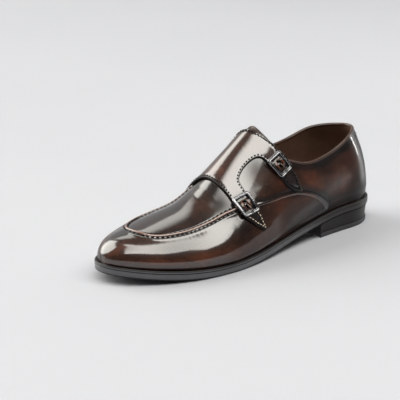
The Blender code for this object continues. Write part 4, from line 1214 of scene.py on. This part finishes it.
def build_sole():
    across = (-1, -0.8, -0.6, -0.4, -0.2, 0, 0.2, 0.4, 0.6, 0.8, 1)
    rise = lambda k, more=0.0: (lambda x: under(x) + k * (sole_top(x) - under(x)) + more)
    profile = [(2.0, rise(0)), (1.1, rise(0, 0.05)), (0.4, rise(0, 0.5)), (0.08, rise(0, 1.2)), (0.0, rise(0, 1.9)),
               (0.0, rise(0.66)), (0.16, rise(0.69)), (0.16, rise(0.72)), (0.0, rise(0.75)), (0.0, rise(1, -0.9)),
               (0.12, rise(1, -0.45)), (0.45, rise(1, -0.12)), (0.9, rise(1)), (1.75, rise(1)), (2.05, rise(1, -0.3)),
               (2.3, rise(1, -0.8)), (3.6, rise(1, -0.8)), (4.0, rise(1))]
    slab("outsole_body", [plate(150, across, d, z) for d, z in profile], [rubber, rubber_dark], ("outsole",), 40,
         black=(0, 1, 2, 5, 6, 7, 9, 10, 11, 12, 13, 14, 15, 16))
    inner = MARGIN + WALL + 2.1
    low = lambda x: sole_top(x) + GAP
    slab("sock", [plate(90, across, inner, low), plate(90, across, inner, lambda x: low(x) + INSOLE - 0.9),
                  plate(90, across, inner + 0.3, lambda x: low(x) + INSOLE - 0.3),
                  plate(90, across, inner + 1.0, lambda x: low(x) + INSOLE)], sock, ("insole",))
    full = lambda k: (lambda x: TOP_PIECE + GAP + k * (under(x) - GAP - TOP_PIECE - GAP))
    block = [(2.3, full(0)), (1.95, lambda x: TOP_PIECE + GAP + 0.4), (1.95, full(0.3)), (1.7, full(0.5)), (1.35, full(0.75)),
             (0.95, full(0.94)), (1.0, full(0.975)), (1.4, full(1))]
    slab("heel_block_body", [plate(60, across, d, z, BREAST) for d, z in block], rubber_dark, ("heel_block",), 32)
    lift = [(2.4, lambda x: 0.0), (1.7, lambda x: 0.15), (1.4, lambda x: 0.7), (1.35, lambda x: 2.0), (1.4, lambda x: 3.5),
            (1.6, lambda x: 4.0), (2.1, lambda x: TOP_PIECE)]
    slab("heel_lift_body", [plate(60, across, d, z, BREAST) for d, z in lift], rubber_lift, ("heel_top_piece",), 32)


# ---------------------------------------------------------------- stitching
def inset_line(loop, d):
    """The part of a closed line moved inwards by d that stays clear of its edges, as runs of points."""
    p = inset(loop, d)
    good = within(p, loop) & (edge_distance(p, [loop]) > 0.9 * d)
    runs, run = [], []
    for k in np.flatnonzero(good):
        if run and (k != run[-1] + 1) and np.linalg.norm(p[k] - p[run[-1]]) > 3.0:
            runs.append(run)
            run = []
        run.append(int(k))
    if run:
        runs.append(run)
    return [p[r] for r in runs if len(r) > 3]


def build_stitching(strap_loop, patch_corners, tongue_loop):
    dark, cream = [], []

    def on_strap(off_edge):
        for run in inset_line(strap_loop, off_edge):
            x, a = run[:, 0], run[:, 1] / RADIUS

            def clear(xx, aa):
                for patch in (LOWER, UPPER):
                    u, v = patch.local(np.array([xx]), np.array([aa]))
                    if abs(u[0]) < 10.2 and abs(v[0]) < 9.5:
                        return False
                return True

            def on_tip(xx, aa):
                u, v = LOWER.local(np.array([xx]), np.array([aa]))
                return u[0] > 9.5 and abs(v[0]) < 12

            dark.extend(stitches(x, a, STRAP_HIGH, pitch=3.1, fill=0.62, radius=0.55, keep=lambda p, q: clear(p, q) and not on_tip(p, q)))
            cream.extend(stitches(x, a, STRAP_HIGH - 0.02, pitch=2.9, fill=0.68, radius=0.42, keep=lambda p, q: clear(p, q) and on_tip(p, q)))

    on_strap(1.6)
    # second row along the strap's top edge
    rows = np.array([(133.4, 0.93), (136.2, 1.03), (139.9, 1.22), (142.6, 1.46), (143.9, 1.72), (144.4, 1.88)])
    rows = open_curve(rows, 0.8)
    dark.extend(stitches(rows[:, 0], rows[:, 1], STRAP_HIGH + 0.02, pitch=3.1, fill=0.66, radius=0.45))
    for side in (1, -1):
        seam = np.array([(x, a if side > 0 else PI - a) for x, a in SEAM])
        flat = np.array(to_s(seam))
        line = open_curve(flat, 0.8)
        t = unit(np.gradient(line, axis=0))
        moved = line + side * np.stack([-t[:, 1], t[:, 0]], 1) * 1.9
        x, a = x_of(moved[:, 0]), moved[:, 1] / RADIUS
        good = (a > 0.012) & (a < PI - 0.012)
        dark.extend(stitches(x[good], a[good], OVERLAY - 0.12 + creases(x[good], a[good]), pitch=2.6, radius=0.3))
    # grooves beside the apron's ridge
    t = unit(np.gradient(APRON * (1, RADIUS), axis=0))
    n = np.stack([-t[:, 1], t[:, 0]], 1)
    for d, pitch in ((1.75, 4.1), (-1.85, 4.1)):
        p = upper_point(APRON[:, 0], APRON[:, 1])
        tt, nn, bb = frames(p, upper_normal(APRON[:, 0], APRON[:, 1]))
        flat = APRON * (1, RADIUS) + n * d
        x, a = flat[:, 0], flat[:, 1] / RADIUS
        good = x > 186
        dark.extend(stitches(x[good], a[good], relief(x[good], a[good]) + 0.12, pitch=pitch, fill=0.66, radius=0.5))
    # top edge of the collar and the back strip
    x, a = top_path(139.0, 131.0, drop=4.9)
    dark.extend(stitches(x, a, OVERLAY + 0.02 + creases(x, a), pitch=2.6, radius=0.24, keep=lambda p, q: p > UP0 + 1.5))
    for side in (1, -1):
        v = np.linspace(0.03, 0.94, 80)
        half = 6.2 - 1.6 * v + 1.4 * (1 - v) ** 6 - 1.7
        x = x_of(half)
        top = (top_angle(x, 1) if side > 0 else PI - top_angle(x, -1)) * v
        dark.extend(stitches(x, top if side > 0 else PI - top, np.full(80, 1.05), pitch=2.6, radius=0.27))
    loop = curve(patch_corners, 0.8, (0, 1, 2, 3))
    for run in inset_line(loop, 1.9):
        dark.extend(stitches(run[:, 0], run[:, 1] / RADIUS, 2.78, pitch=2.5))
    p, f = joined(dark)
    piece("stitches_dark", p, f, thread_dark, angle=0)
    p, f = joined(cream)
    piece("stitches_cream", p, f, thread_cream, angle=0)


# ---------------------------------------------------------------- stage, lights and camera
def target():
    return Vector((0.0, 0.0, 0.045))


def toward(az, el):
    a, e = math.radians(az), math.radians(el)
    return Vector((math.cos(a) * math.cos(e), math.sin(a) * math.cos(e), math.sin(e)))


def panel(name, az, el, far, wide, high, level, colour, turn=0.0):
    """A softbox that faces the shoe from azimuth az (from +X, towards +Y) and elevation el."""
    data = bpy.data.lights.new(name, "AREA")
    data.shape, data.size, data.size_y = "RECTANGLE", wide, high
    data.energy, data.color = level * PI * wide * high, colour
    thing = bpy.data.objects.new(name, data)
    thing.location = target() + toward(az, el) * far
    rotation = (-toward(az, el)).to_track_quat("-Z", "Y")
    thing.rotation_euler = (rotation.to_matrix() @ Matrix.Rotation(math.radians(turn), 3, "Z")).to_euler()
    bpy.context.scene.collection.objects.link(thing)
    return thing


def build_stage():
    away = toward(46.4 + 180, 0)
    across = Vector((-away.y, away.x, 0))
    profile = [(-5.0, 0.0), (-3.0, 0.0)] + [(d, 0.0) for d in np.linspace(-1.2, 2.2, 8)]
    profile += [(2.2 + 0.9 * math.sin(t), 0.9 - 0.9 * math.cos(t)) for t in np.linspace(0.1, PI / 2, 12)]
    profile += [(3.1, 1.8), (3.1, 3.4)]
    points, cols = [], np.linspace(-4.5, 2.3, 15)
    for d, z in profile:
        for c in cols:
            p = away * d + across * float(c)
            points.append((p.x, p.y, z))
    mesh = bpy.data.meshes.new("floor")
    mesh.from_pydata(points, [], grid_faces(len(profile), len(cols)))
    mesh.shade_smooth()
    f = Finish("floor_pale", Roughness=0.65, Specular_Ior_Level=0.25)
    f.set(Base_Color=f.mix(f.remap(f.noise(3.0, 2.0), 0.3, 0.7), (0.336, 0.345, 0.373), (0.344, 0.353, 0.381)))
    mesh.materials.append(f.material)
    floor = bpy.data.objects.new("floor", mesh)
    bpy.context.scene.collection.objects.link(floor)
    world = bpy.data.worlds.new("studio")
    world.use_nodes = True
    world.node_tree.nodes["Background"].inputs["Color"].default_value = (0.95, 0.72, 0.62, 1)
    world.node_tree.nodes["Background"].inputs["Strength"].default_value = 0.07
    bpy.context.scene.world = world
    # left softbox: its outline seen from the shoe, as azimuth and elevation, and a soft right edge
    middle = toward(-62, 33)
    side = middle.cross(Vector((0, 0, 1))).normalized()
    above = side.cross(middle)
    outline = []
    for az, el in ((-100, -8), (-80, -5), (-62, 1), (-45, 9), (-34, 18), (-24, 26), (-17, 45), (-22, 58), (-40, 61), (-55, 61),
                   (-68, 59), (-83, 59), (-97, 57), (-99, 30), (-100, 10)):
        d = toward(az, el)
        outline.append((d.dot(side) / d.dot(middle), d.dot(above) / d.dot(middle)))

    def left_fade(flat):
        return 1 - 0.88 * smooth((flat[:, 0] - 0.28) / 0.42)

    glowing("softbox_left", outline, middle, side, above, 6.0, 0.05, 0.06, left_fade, 6.0)
    # slanting softbox overhead: corners in plan, as parts of its height
    plan = ((0.20, -0.13), (0.28, 0.09), (0.55, 0.22), (1.16, 0.60), (0.45, 0.74), (0.12, 0.84), (-0.12, 0.80), (-0.26, 0.78),
            (-0.40, 0.95), (-0.60, 1.13), (-0.98, 0.70), (-0.30, 0.17), (0.0, 0.13), (0.14, -0.07))
    glowing("softbox_over", plan, Vector((0, 0, 1)), Vector((1, 0, 0)), Vector((0, 1, 0)), 6.0, 0.035, 0.06,
            lambda flat: np.ones(len(flat)), 7.4)
    # dim panel behind the shoe, high up, for the sheen on the toe end of the apron
    middle = toward(-130, 45)
    side = middle.cross(Vector((0, 0, 1))).normalized()
    above = side.cross(middle)
    outline = []
    for az, el in ((-148, 31), (-106, 27), (-99, 38), (-101, 58), (-128, 62), (-148, 58)):
        d = toward(az, el)
        outline.append((d.dot(side) / d.dot(middle), d.dot(above) / d.dot(middle)))
    glowing("softbox_behind", outline, middle, side, above, 6.0, 0.05, 0.12, lambda flat: np.ones(len(flat)), 3.2)
    # narrow strip light for the line of shine down the heel's back
    panel("softbox_rim", 173.5, 20, 1.4, 0.147, 1.08, 8.0, (1.0, 0.975, 0.93))


def glowing(name, outline, middle, side, above, far, step, soft, fade, level):
    """A softbox: a flat glowing shape at a distance, whose edges fade."""
    loop = np.array(outline, float)
    low, high = loop.min(axis=0) - soft, loop.max(axis=0) + soft
    us, vs = (np.linspace(low[k], high[k], int((high[k] - low[k]) / step) + 2) for k in (0, 1))
    flat = np.array([(u, v) for u in us for v in vs])
    signed = edge_distance(flat, [loop]) * np.where(within(flat, loop), 1, -1)
    glow = smooth((signed + soft) / (2 * soft)) * fade(flat)
    points = [(middle + side * float(u) + above * float(v)) * far for u, v in flat]
    faces = [f for f in grid_faces(len(us), len(vs)) if max(glow[list(f)]) > 1e-4]
    mesh = bpy.data.meshes.new(name)
    mesh.from_pydata([tuple(q) for q in points], [], faces)
    mesh.attributes.new("glow", "FLOAT", "POINT").data.foreach_set("value", glow.astype(np.float32))
    f = Finish(name + "_light")
    out = next(node for node in f.tree.nodes if node.bl_idname == "ShaderNodeOutputMaterial")
    emission = f.tree.nodes.new("ShaderNodeEmission")
    emission.inputs["Color"].default_value = (1.0, 0.980, 0.918, 1)
    f.tree.links.new(f.math("MULTIPLY", f.attribute("glow"), level), emission.inputs["Strength"])
    f.tree.links.new(emission.outputs[0], out.inputs["Surface"])
    mesh.materials.append(f.material)
    thing = bpy.data.objects.new(name, mesh)
    bpy.context.scene.collection.objects.link(thing)


def build_camera():
    az, el, roll, far, focal, cx, cy = 136.37, 16.25, 0.13, 1126.0, 1300.0, 242.50, 195.76
    a, e, r = math.radians(az), math.radians(el), math.radians(roll)
    back = Vector((math.sin(a) * math.cos(e), -math.cos(a) * math.cos(e), math.sin(e)))
    right = Vector((math.cos(a), math.sin(a), 0))
    up = back.cross(right)
    right, up = math.cos(r) * right + math.sin(r) * up, -math.sin(r) * right + math.cos(r) * up
    eye = Vector((150.0, 0.0, 45.0)) + far * back
    look = (-focal * back + (200 - cx) * right - (200 - cy) * up)
    focal = look.length
    look.normalize()
    right = (right - look * right.dot(look)).normalized()
    up = right.cross(look)
    data = bpy.data.cameras.new("camera")
    data.sensor_width, data.lens = 36.0, 36.0 * focal / 400
    data.clip_start, data.clip_end = 0.05, 20
    camera = bpy.data.objects.new("camera", data)
    camera.matrix_world = Matrix.Translation((eye - Vector(ORIGIN)) * 0.001) @ Matrix((right, up, -look)).transposed().to_4x4()
    bpy.context.scene.collection.objects.link(camera)
    bpy.context.scene.camera = camera


build_camera()
build_stage()
build_shell()
build_quarters()
build_back_strip()
build_collar()
build_apron_ridge()
LOOPS = build_strap()
TONGUE_LOOP = build_tongue()
CORNERS = build_inner_side()
for key, patch in (("lower", LOWER), ("upper", UPPER)):
    build_buckle(key, patch)
    build_prong(key, patch)
build_sole()
build_stitching(LOOPS[0], CORNERS, TONGUE_LOOP)

settings = bpy.context.scene.view_settings
settings.view_transform, settings.look, settings.exposure, settings.gamma = "Standard", "None", 0.0, 1.0
